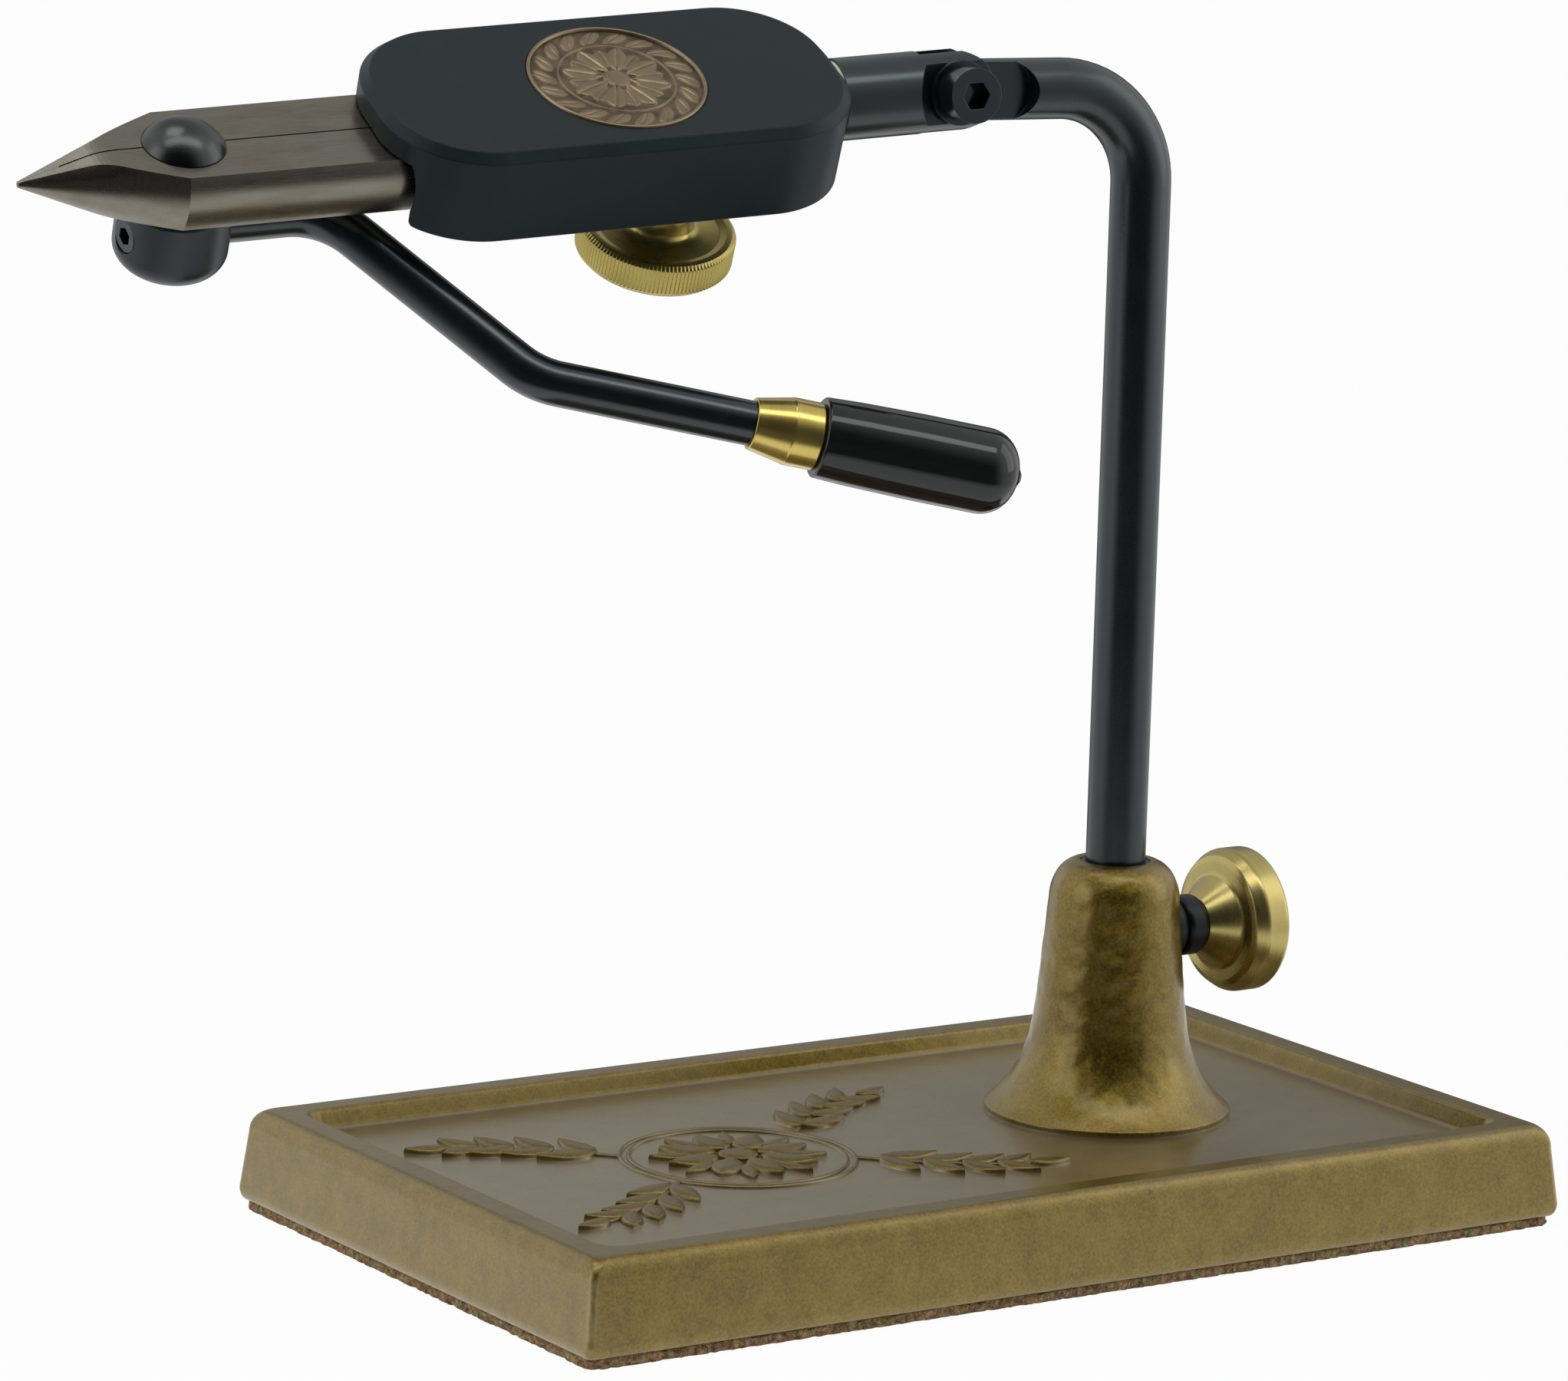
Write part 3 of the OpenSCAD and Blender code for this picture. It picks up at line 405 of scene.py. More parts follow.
def jaw_steel():
    """Bare steel with grain along the jaws and warmer patches"""
    s = new_finish("jaw_steel")
    point = s.place()
    local = point.moved(-HEAD.translation / MM)
    along, across, height = (local.dot(HEAD.col[i].to_3d()) for i in range(3))
    grain = s.noise(s.joined(along * 0.06, across, height), 0.16, 3.0, 0.7)
    blotch = s.noise(s.joined(along * 0.25, across, height), 3.2, 3.0, 0.55)
    shade = s.levels(grain * 0.5 + blotch * 0.5, 0.3, 0.7, 0.8, 1.18)
    warm = s.mix(s.levels(blotch, 0.4, 0.7), colours().steel, colours().tanned)
    return s.finish(
        Base_Color=s.shaded(warm, shade), Metallic=0.95,
        Roughness=s.levels(grain * 0.6 + blotch * 0.4, 0.3, 0.7, 0.20, 0.32),
        Normal=s.bump(grain, 0.006, 0.4))


def medal_bronze():
    """Antique bronze: dark in the hollows, rubbed bright on what stands up"""
    s = new_finish("medal_bronze")
    point = s.place()
    high = s.levels(s.split(point)[2], 0.76, 1.04)
    patches = s.noise(point, 3.2, 3.0, 0.6)
    # Here the mask is only wear: the bronze rubbed bright on what stands up
    wear_and_highlight = (high * 0.85 + s.levels(patches, 0.35, 0.7) * 0.3).clamped()
    ground = s.mix(s.levels(patches, 0.4, 0.6), (0.078, 0.058, 0.038), (0.125, 0.092, 0.058))
    tint = s.mix(wear_and_highlight, ground, colours().bronze)
    return s.finish(
        Base_Color=tint, Metallic=0.8, Roughness=s.levels(wear_and_highlight, 0.0, 1.0, 0.55, 0.32),
        Normal=s.bump(s.noise(point, 0.3, 2.0, 0.6), 0.02, 0.4))


def cork_grain():
    """Pressed cork granules: pale cells with dark brown binder between them"""
    s = new_finish("cork_grain")
    point = s.place()
    tone = s.cells(point, 1.3, output=1)
    gaps = s.cells(point, 1.3, "DISTANCE_TO_EDGE")
    shade = s.ramp(s.noise(point, 0.9, 3.0, 0.65),
                   (0.30, (0.085, 0.052, 0.02)), (0.48, colours().cork), (0.72, (0.60, 0.45, 0.24)))
    mottled = s.mix(0.25, shade, tone, "SOFT_LIGHT")
    rough = s.noise(point, 0.5, 3.0, 0.7)
    colour = s.mix(s.levels(gaps, 0.0, 0.05), (0.09, 0.045, 0.02), mottled)
    return s.finish(Base_Color=colour, Roughness=0.9, Normal=s.bump(rough, 0.25, 0.9))


def soft_black(name, colour, rough, grain, ior):
    """Rubber or dipped vinyl"""
    s = new_finish(name)
    point = s.place()
    waves = s.noise(point, 4.0, 2.0, 0.5)
    fine = s.noise(point, 0.3, 2.0, 0.5)
    return s.finish(
        Base_Color=s.mix(waves, colour, tuple(share * 1.5 for share in colour)),
        Roughness=s.levels(waves, 0.3, 0.7, rough * 0.9, rough * 1.1), IOR=ior,
        Normal=s.bump(waves * (1 - grain) + fine * grain, 0.05, 0.3))


def plain_nylon():
    s = new_finish("nylon_white")
    cloud = s.noise(s.place(), 1.5, 2.0, 0.5)
    return s.finish(Base_Color=s.mix(cloud, (0.70, 0.69, 0.62), (0.82, 0.81, 0.75)), Roughness=0.45)


# Meshes

def arc(centre, radius, start, end, steps):
    """Points of an arc, angles in degrees"""
    turns = [math.radians(start + (end - start) * i / steps) for i in range(steps + 1)]
    return [(centre[0] + radius * math.cos(t), centre[1] + radius * math.sin(t)) for t in turns]


def eased(outline, radius, steps=4):
    """An open outline whose inner corners are rounded; a third value sets a corner's own radius"""
    points = [Vector(p[:2]) for p in outline]
    radii = [p[2] if len(p) > 2 else radius for p in outline]
    made = [points[0]]
    for before, corner, after, r in zip(points, points[1:], points[2:], radii[1:]):
        one, two = (before - corner).normalized(), (after - corner).normalized()
        half = math.acos(max(-1.0, min(1.0, one.dot(two)))) / 2
        if r <= 0 or half > math.pi / 2 - 0.05:
            made.append(corner)
            continue
        back = min(r / math.tan(half), (before - corner).length * 0.45, (after - corner).length * 0.45)
        r = back * math.tan(half)
        centre = corner + (one + two).normalized() * (r / math.sin(half))
        first, last = corner + one * back - centre, corner + two * back - centre
        turn = math.atan2(first.x * last.y - first.y * last.x, first.dot(last))
        for i in range(steps + 1):
            c, s = math.cos(turn * i / steps), math.sin(turn * i / steps)
            made.append(centre + Vector((first.x * c - first.y * s, first.x * s + first.y * c)))
    made.append(points[-1])
    return [(p.x, p.y) for p in made]


def loft(loops):
    """Closed skin over rings of points that all have the same count, in millimetres"""
    bm = bmesh.new()
    rings = [[bm.verts.new(Vector(p) * MM) for p in ring] for ring in loops]
    skin(bm, rings)
    bm.faces.new(list(reversed(rings[0])))
    bm.faces.new(rings[-1])
    return bm


def lathe(outline, segments=96, swell=None):
    """Skin turned about Z from (radius, height) points; swell(angle, radius, height) moves a radius"""
    bm = bmesh.new()
    rings = []
    for r, z in outline:
        if r < 1e-6:
            rings.append([bm.verts.new((0, 0, z * MM))])
            continue
        ring = []
        for i in range(segments):
            angle = 2 * math.pi * i / segments
            rr = r + (swell(angle, r, z) if swell else 0)
            ring.append(bm.verts.new((rr * math.cos(angle) * MM, rr * math.sin(angle) * MM, z * MM)))
        rings.append(ring)
    for lower, upper in zip(rings, rings[1:]):
        for i in range(segments):
            j = (i + 1) % segments
            quad = [lower[i % len(lower)], lower[j % len(lower)],
                    upper[j % len(upper)], upper[i % len(upper)]]
            face = list(dict.fromkeys(quad))
            if len(face) > 2:
                bm.faces.new(face)
    return bm


def rounded(half_l, half_w, radius, z):
    """Ring of points along a rectangle with round corners"""
    steps = 8
    ring = []
    for k, (sx, sy) in enumerate(CORNERS):
        centre = (sx * (half_l - radius), sy * (half_w - radius))
        ring += [(px, py, z) for px, py in arc(centre, radius, 90 * k, 90 * k + 90, steps)]
    return ring


def skin(bm, rings):
    """Faces between rings that all have the same count"""
    count = len(rings[0])
    for lower, upper in zip(rings, rings[1:]):
        for i in range(count):
            j = (i + 1) % count
            bm.faces.new((lower[i], lower[j], upper[j], upper[i]))


def tube(path, radius, segments=48):
    """Round rod along a path of points, with flat ends"""
    points = [Vector(p) for p in path]
    turns = [2 * math.pi * k / segments for k in range(segments)]
    loops = []
    side = None
    for i, point in enumerate(points):
        ahead = (points[min(i + 1, len(points) - 1)] - points[max(i - 1, 0)]).normalized()
        side = (side or ahead.orthogonal()).cross(ahead).cross(ahead).normalized() * -1
        up = ahead.cross(side)
        loops.append([point + radius * (math.cos(t) * side + math.sin(t) * up) for t in turns])
    return loft(loops)


def carved(piece, bm, matrix, operation="DIFFERENCE"):
    """Cuts a second skin out of a piece, or joins it on"""
    bmesh.ops.recalc_face_normals(bm, faces=bm.faces)
    mesh = bpy.data.meshes.new("tool")
    bm.to_mesh(mesh)
    bm.free()
    tool = bpy.data.objects.new("tool", mesh)
    tool.matrix_world = matrix
    bpy.context.scene.collection.objects.link(tool)
    modifier = piece.modifiers.new("carve", "BOOLEAN")
    modifier.operation, modifier.object, modifier.solver = operation, tool, "EXACT"
    bpy.context.view_layer.update()
    made = bpy.data.meshes.new_from_object(piece.evaluated_get(bpy.context.evaluated_depsgraph_get()))
    piece.modifiers.remove(modifier)
    piece.data = made
    made.shade_smooth()
    made.set_sharp_from_angle(angle=math.radians(40))
    bpy.data.objects.remove(tool)


def weighted(piece):
    """Keeps flat faces flat beside their rounded edges"""
    modifier = piece.modifiers.new("flat_faces", "WEIGHTED_NORMAL")
    modifier.keep_sharp = True


def finished(bm, name, finish, matrix, body, slot, *nodes, smooth_angle=40):
    """Makes the object, places it, and says what it rides on and stands for"""
    bmesh.ops.recalc_face_normals(bm, faces=bm.faces)
    mesh = bpy.data.meshes.new(name)
    bm.to_mesh(mesh)
    bm.free()
    piece = bpy.data.objects.new(name, mesh)
    bpy.context.scene.collection.objects.link(piece)
    piece.matrix_world = matrix
    mesh.materials.append(FINISHES[finish])
    mesh.shade_smooth()
    mesh.set_sharp_from_angle(angle=math.radians(smooth_angle))
    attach(piece, body)
    if nodes:
        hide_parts(*nodes)
    return piece


def dress(node, finish):
    """Gives a frame node its finish"""
    mesh = NODES[node].data
    if mesh.materials:
        mesh.materials[0] = FINISHES[finish]
    else:
        mesh.materials.append(FINISHES[finish])


def operator(cls):
    """Adds a class to the list that is registered"""
    OPERATORS.append(cls)
    return cls


OPERATORS = []


@operator
class VISE_OT_finishes(bpy.types.Operator):
    """Make every finish of the vise"""
    bl_idname = "vise.finishes"
    bl_label = "Finishes"

    def execute(self, context):
        c = colours()
        FINISHES.update(
            cast_paint=cast_paint(), jaw_steel=jaw_steel(),
            medal_bronze=medal_bronze(), cork_grain=cork_grain(), nylon=plain_nylon(),
            brass=turned("turned_brass", c.brass, 0.22, depth=0.003, metallic=0.9, coat=0.2),
            knob_brass=turned("knob_brass", c.knob_brass, 0.28, depth=0.004, metallic=0.9, edge=0.03),
            clamp_brass=turned("clamp_brass", c.clamp_brass, 0.27, depth=0.004, metallic=0.92),
            black_oxide=black_oxide("black_oxide", c.black),
            stem_oxide=black_oxide("stem_oxide", c.black, 0.27),
            collar_black=black_oxide("collar_black", c.collar, 0.32, 0.3, 1.5),
            head_black=black_oxide("head_black", c.head, 0.38, 0.4, 1.3, (0.74, 0.95, 1.0)),
            dome_steel=turned("dome_steel", c.dome, 0.26),
            bright_steel=turned("bright_steel", c.bright_steel, 0.3),
            vinyl=soft_black("dipped_vinyl", c.vinyl, 0.09, grain=0.0, ior=1.47),
            rubber=soft_black("rubber", c.rubber, 0.36, grain=0.6, ior=1.36))
        return {"FINISHED"}


@operator
class VISE_OT_frame_parts(bpy.types.Operator):
    """Give the frame's own parts their finishes"""
    bl_idname = "vise.frame_parts"
    bl_label = "Frame parts"

    def execute(self, context):
        pieces = {"stem_arm": "stem_oxide", "cam_pin": "dome_steel"}
        slots = {"cast_bronze": "cast_paint", "cork": "cork_grain", "black_steel": "black_oxide",
                 "brass": "brass", "grip_vinyl": "vinyl", "medal_bronze": "medal_bronze"}
        for part in frame["record"]["subparts"]:
            slot = part["material_slot"]
            dress(part["node"], pieces.get(part["node"], slots.get(slot, slot)))
        for node in ("jaw_near", "jaw_far"):
            edges = NODES[node].modifiers.new("broken_edges", "BEVEL")
            edges.width, edges.segments = sizes().jaw_edge, 2
            edges.limit_method, edges.angle_limit = "ANGLE", math.radians(28)
            edges.harden_normals = True
        return {"FINISHED"}


def tower_outline():
    """Half outline of the tower from the tray's floor up: lip, hollow flare, taper, shoulder, bore"""
    lip_z = TRAY_Z + LIP_H
    shoulder_z = TOWER_Z - SHOULDER_H
    taper = (WAIST_R + 0.1 - TOP_R) / (shoulder_z - lip_z - FLARE_H)
    sweep_h, fade, rows = 24.0, 4.3, 44
    flare = []
    for i in range(1, rows + 1):
        share = (i / rows) ** 1.2
        z = lip_z + sweep_h * share
        straight = TOP_R + taper * (shoulder_z - z)
        flare.append((straight + (FOOT_R - TOP_R - taper * (shoulder_z - lip_z)) * (1 - share) ** fade, z))
    foot = [(FOOT_R + 1.6, TRAY_Z), (FOOT_R - 0.12, TRAY_Z)]
    foot += eased([(FOOT_R - 0.12, TRAY_Z + 0.1), (FOOT_R, lip_z, 0.5), flare[0]], 0.5, 6)
    top_r, top_z = flare[-1]
    rows = 16
    for i in range(1, rows):
        flare.append((top_r + (TOP_R - top_r) * i / rows, top_z + (shoulder_z - top_z) * i / rows))
    shoulder = []
    for i in range(rows + 1):
        a = math.pi / 2 * i / rows
        shoulder.append((TOP_R - SHOULDER_R * (1 - math.cos(a)), TOWER_Z - SHOULDER_H * (1 - math.sin(a))))
    bore = [(BORE_R + 0.12, TOWER_Z - 0.05), (BORE_R, TOWER_Z - 0.3), (BORE_R, BORE_Z), (WELL_R, BORE_Z),
            (WELL_R, WELL_Z)]
    return foot[:-1] + flare + shoulder + bore


def casting_skin():
    """Base, rim, tray and tower as one closed skin"""
    half_l, half_w = BASE_L / 2, BASE_W / 2
    loops = []
    under_w, under_h, crown_h, crown_r = 0.9, 2.0, 3.6, 1.3
    for i in range(7):
        a = math.pi / 2 * i / 6
        inset = under_w * (1 - math.sin(a))
        z = CORK_T + under_h * (1 - math.cos(a))
        loops.append(rounded(half_l - inset, half_w - inset, BASE_CORNER, z))
    for i in range(13):
        a = math.pi / 2 * i / 12
        inset = BASE_DRAFT + RIM_ROUND * (1 - math.cos(a))
        z = BASE_H - crown_h * (1 - math.sin(a))
        loops.append(rounded(half_l - inset, half_w - inset, BASE_CORNER + crown_r * (1 - math.cos(a)), z))
    edge = BASE_DRAFT + RIM_W
    wall = eased([(edge - 1.4, BASE_H), (edge, BASE_H, 1.1), (edge + TRAY_SLOPE, TRAY_Z, 1.5),
                  (edge + TRAY_SLOPE + 2.0, TRAY_Z)], 1.0, 6)
    for inset, z in wall:
        radius = TRAY_CORNER + TRAY_SLOPE - (inset - edge) * 0.9
        loops.append(rounded(half_l - inset, half_w - inset, max(radius, 0.6), z))
    bm = bmesh.new()
    rings = [[bm.verts.new(Vector(p) * MM) for p in loop] for loop in loops]
    skin(bm, rings)
    bm.faces.new(list(reversed(rings[0])))
    count = 192
    tower = []
    depth = sizes().hammer / MM
    for r, z in tower_outline():
        ring = []
        for k in range(count):
            way = Vector((math.cos(2 * math.pi * k / count), math.sin(2 * math.pi * k / count), 0))
            dent = 0
            if r > BORE_R + 1 and z > TRAY_Z + 0.3:
                spot = way * r + Vector((0, 0, z * 0.8))
                dent = depth * (noise.noise(spot / 1.9) + 0.6 * noise.noise(spot / 4.5))
            ring.append(bm.verts.new((way * (r + dent) + Vector((STEM.x / MM, 0, z))) * MM))
        tower.append(ring)
    skin(bm, tower)
    bm.faces.new(tower[-1])
    rim = [bm.edges.get(pair) for ring in (rings[-1], tower[0]) for pair in zip(ring, ring[1:] + ring[:1])]
    bmesh.ops.triangle_fill(bm, use_beauty=True, edges=rim)
    return bm


@operator
class VISE_OT_base(bpy.types.Operator):
    """Make the cast base with its tower, and the cork under it"""
    bl_idname = "vise.base"
    bl_label = "Base"

    def execute(self, context):
        base = finished(casting_skin(), "base_skin", "cast_paint", Matrix(), "base", "cast_bronze",
                        "base_casting", smooth_angle=50)
        root, start, end = 7, 5.2, 14
        boss = eased([(0, root), (BOSS_R + 0.9, root), (BOSS_R, BOSS_FACE - 0.4, 0.5),
                      (BOSS_R, BOSS_FACE, 0.3), (0, BOSS_FACE)], 0.3)
        carved(base, lathe(boss, 64), CLAMP, "UNION")
        carved(base, lathe([(0, start), (STUD_BORE_R, start), (STUD_BORE_R, end), (0, end)], 48), CLAMP)
        weighted(base)
        finished(relief_skin(), "tray_relief", "cast_paint", Matrix(), "base", "cast_bronze",
                 "base_casting", smooth_angle=55)
        finished(cork_skin(), "cork_sheet", "cork_grain", Matrix(), "base", "cork", "cork_pad",
                 smooth_angle=60)
        return {"FINISHED"}


def leaf(bm, tip, heading, length, width, tall):
    """Pointed leaf standing on the tray's floor from its foot at tip along heading"""
    ahead = Vector((math.cos(heading), math.sin(heading), 0))
    side = Vector((-ahead.y, ahead.x, 0))
    foot = Vector((*tip, TRAY_Z))
    steps = 9
    rings = []
    crown = ((1.0, tall * 0.5), (0.86, tall * 0.82), (0.58, tall), (0.2, tall * 1.06))
    for share, z in ((1.2, -0.3), (1.1, 0.04), *crown):
        ring = []
        for s, order in ((1, range(steps + 1)), (-1, range(steps - 1, 0, -1))):
            for i in order:
                t = i / steps
                half = width / 2 * math.sin(math.pi * t ** 0.8) ** 0.8 * share * s
                reach = length * (0.5 + (t - 0.5) * (0.9 + 0.1 * share))
                ring.append(bm.verts.new((foot + ahead * reach + side * half + Vector((0, 0, z))) * MM))
        rings.append(ring)
    skin(bm, rings)
    bm.faces.new(rings[-1])


def relief_skin():
    """Generic ornament of the tray: a rosette in a ring and a leafy sprig towards each corner"""
    tall = sizes().relief_h / MM
    bm = bmesh.new()
    middle = Vector((-31, 0))
    petals, pairs, swing = 8, 4, 0.62
    for start, length, width, turn, share in ((3.6, 9.0, 5.2, 0, 1), (6.6, 7.4, 2.6, 0.5, 0.8)):
        for k in range(petals):
            heading = 2 * math.pi * (k + turn) / petals
            foot = middle + start * Vector((math.cos(heading), math.sin(heading)))
            leaf(bm, foot, heading, length, width, tall * share)
    for sx, sy in CORNERS:
        for i in range(pairs + 1):
            t = i / pairs
            spine = Vector((middle.x + sx * (19 + 19 * t), sy * (11 + 21 * t - 8 * t * t)))
            heading = math.atan2(sy * (21 - 16 * t), sx * 19)
            for side in ((-swing, swing) if i < pairs else (0.0,)):
                leaf(bm, spine, heading + side, 9.6 - 0.7 * i, 3.9 - 0.2 * i, tall * 0.9)
    parts = [(bm, Matrix())]
    button = eased([(3.3, -0.3), (3.1, tall * 0.8, 0.4), (2.3, tall * 1.05, 0.6), (0, tall * 1.1)], 0.4, 6)
    parts.append((lathe(button, 48), Matrix.Translation(Vector((middle.x, middle.y, TRAY_Z)) * MM)))
    wire = 0.42
    for radius in (16.9, 18.3):
        circle = [(x, y, TRAY_Z) for x, y in arc(middle, radius, 0, 360, 96)[:-1]]
        parts.append((hoop(circle, wire), Matrix()))
    for sx, sy in CORNERS:
        path = []
        for i in range(13):
            t = i / 12
            side = sy * (8.4 + 24.4 * t - 8.5 * t * t)
            path.append((middle.x + sx * (16 + 23 * t), side, TRAY_Z + 0.05))
        parts.append((tube(path, wire, 12), Matrix()))
    made = bmesh.new()
    for part, place in parts:
        part.transform(place)
        mesh = bpy.data.meshes.new("part")
        part.to_mesh(mesh)
        part.free()
        made.from_mesh(mesh)
        bpy.data.meshes.remove(mesh)
    return made


def hoop(points, radius):
    """Round wire closed on itself along a flat ring of points"""
    segments = 12
    bm = bmesh.new()
    count = len(points)
    rings = []
    for i, point in enumerate(points):
        ahead = (Vector(points[(i + 1) % count]) - Vector(points[i - 1])).normalized()
        out = Vector((ahead.y, -ahead.x, 0))
        ring = []
        for k in range(segments):
            turn = 2 * math.pi * k / segments
            around = math.cos(turn) * out + math.sin(turn) * Vector((0, 0, 1))
            ring.append(bm.verts.new((Vector(point) + radius * around) * MM))
        rings.append(ring)
    skin(bm, rings + rings[:1])
    return bm


def cork_skin():
    """Cork sheet whose cut edge is ragged"""
    inset, radius, spacing = 0.7, 2.3, 0.55
    half_l, half_w = BASE_L / 2 - inset, BASE_W / 2 - inset
    fine = []
    ring = rounded(half_l, half_w, radius, 0)
    for start, end in zip(ring, ring[1:] + ring[:1]):
        start, end = Vector(start), Vector(end)
        parts = max(1, round((end - start).length / spacing))
        fine += [start.lerp(end, i / parts) for i in range(parts)]
    loops = []
    ragged = sizes().cork_ragged / MM
    for z, inset in ((0.0, 0.3), (0.15, 0.1), (0.55, 0.0), (0.95, 0.05), (1.35, 0.0), (CORK_T, 0.15)):
        loop = []
        for p in fine:
            inward = Vector((max(-1, min(1, -p.x / half_l * 4)), max(-1, min(1, -p.y / half_w * 4)), 0))
            depth = noise.noise(Vector((p.x, p.y, z * 1.5)) * 0.9)
            depth += 0.5 * noise.noise(Vector((p.x, p.y, z * 3)) * 2.7)
            loop.append(p + Vector((0, 0, z)) + inward * (inset + ragged * max(0.0, 0.3 + depth)))
        loops.append(loop)
    return loft(loops)


@operator
class VISE_OT_clamp(bpy.types.Operator):
    """Make the smooth thumb knob on the tower's side and its O-ring"""
    bl_idname = "vise.clamp"
    bl_label = "Clamp knob"

    def execute(self, context):
        near, far, radius = 16.1, 26.9, 11.6
        knob = eased([(0, near), (4.3, near, 0.25), (7.6, 20.3, 1.2), (9.6, 20.5, 0.9), (10.5, 20.9, 0.9),
                      (radius, 22.6, 1.6), (radius, far, 1.6), (9.6, far, 0.5), (9.2, far - 0.3, 0.4),
                      (0, far - 0.3)], 0.3, 8)
        weighted(finished(lathe(knob, 160), "clamp_knob_turned", "clamp_brass", CLAMP, "clamp_screw",
                          "brass", "clamp_knob"))
        bore, face = BOSS_R + 0.02, BOSS_FACE - 0.02
        sleeve = eased([(bore, 8.6), (4.72, 8.6), (4.84, 11.0), (4.6, face, 0.3), (bore, face)], 0.2)
        finished(lathe(sleeve + [(bore, 10)], 96), "boss_sleeve", "rubber", CLAMP, "base", "cast_bronze",
                 "base_casting")
        bore, outside = 2.6, 4.86
        ring = eased([(bore, 12.1), (outside, 12.02, 1.7), (outside, 16.02, 1.7), (bore, 15.9)], 1.0, 10)
        finished(lathe([(bore, 14)] + ring + [(bore, 14)], 96), "o_ring_moulded", "rubber", CLAMP,
                 "clamp_screw", "rubber", "clamp_o_ring")
        return {"FINISHED"}


@operator
class VISE_OT_head_knob(bpy.types.Operator):
    """Make the knurled brass knob under the head"""
    bl_idname = "vise.head_knob"
    bl_label = "Head knob"

    def execute(self, context):
        knurl = sizes().knurl / MM
        grooves, edge_w = 120, 0.5

        def groove(angle, r, z):
            if r < KNOB_R - edge_w or z > KNOB_T + 0.2:
                return 0
            share = angle / (2 * math.pi) * grooves % 1
            return -knurl * (0.5 - 0.5 * math.cos(2 * math.pi * share)) * min(1, (r - KNOB_R + edge_w) / 0.4)

        end = KNOB_T + HUB_L
        outline = [(0, 0.3), (KNOB_R - 2.4, 0.3), (KNOB_R - 2.0, 0), (KNOB_R - 1.0, 0, 0.5)]
        outline += [(KNOB_R, 1.0, 0.5), (KNOB_R, KNOB_T - 0.7, 0.25), (KNOB_R - 0.7, KNOB_T, 0.25)]
        outline += [(KNOB_R - 1.6, KNOB_T, 0.3), (KNOB_R - 2.6, KNOB_T - 0.45, 0.5)]
        outline += [(HUB_R, KNOB_T - 0.25, 1.5), (HUB_R, end - 0.4), (HUB_R - 0.4, end), (0, end)]
        knob = lathe(eased(outline, 0.2, 4), grooves * 8, groove)
        finished(knob, "head_knob_turned", "knob_brass", shifted(HEAD, x=KNOB_X, z=KNOB_TOP - end),
                 "rotation_knob", "brass", "head_knob", smooth_angle=32)
        return {"FINISHED"}


def lever_path():
    """Middle line of the lever from the collar to inside the grip, in the lever's own plane"""
    inside, steps = 2.6, 14
    run = [(inside, 0.0)]
    here, way = Vector((0.0, 0.0)), 0.0
    down, level, bend = 54.5, 34.1, 12.0
    back1, back2 = (bend * math.tan(math.radians(turn / 2)) for turn in (down, level))
    first, second, third = 23.8 - back1, 40.5 - back1 - back2, 33.4 - back2 + GRIP_LAP
    for length, turn in ((first, -down), (second, level), (third, 0.0)):
        step = Vector((math.cos(math.radians(way)), math.sin(math.radians(way))))
        for i in range(1, 4):
            run.append(tuple(here + step * (length * i / 3)))
        here = here + step * length
        if turn:
            side = -1 if turn < 0 else 1
            centre = here + Vector((-step.y, step.x)) * bend * side
            for i in range(1, steps + 1):
                arm = here - centre
                arm.rotate(Matrix.Rotation(math.radians(turn * i / steps), 2))
                run.append(tuple(centre + arm))
            here = Vector(run[-1])
            way += turn
    kept = [run[0]]
    for x, y in run[1:]:
        if (Vector((x, y)) - Vector(kept[-1])).length > 0.2 and x > inside:
            kept.append((x, y))
    return [(x, y, 0.0) for x, y in kept], here, way


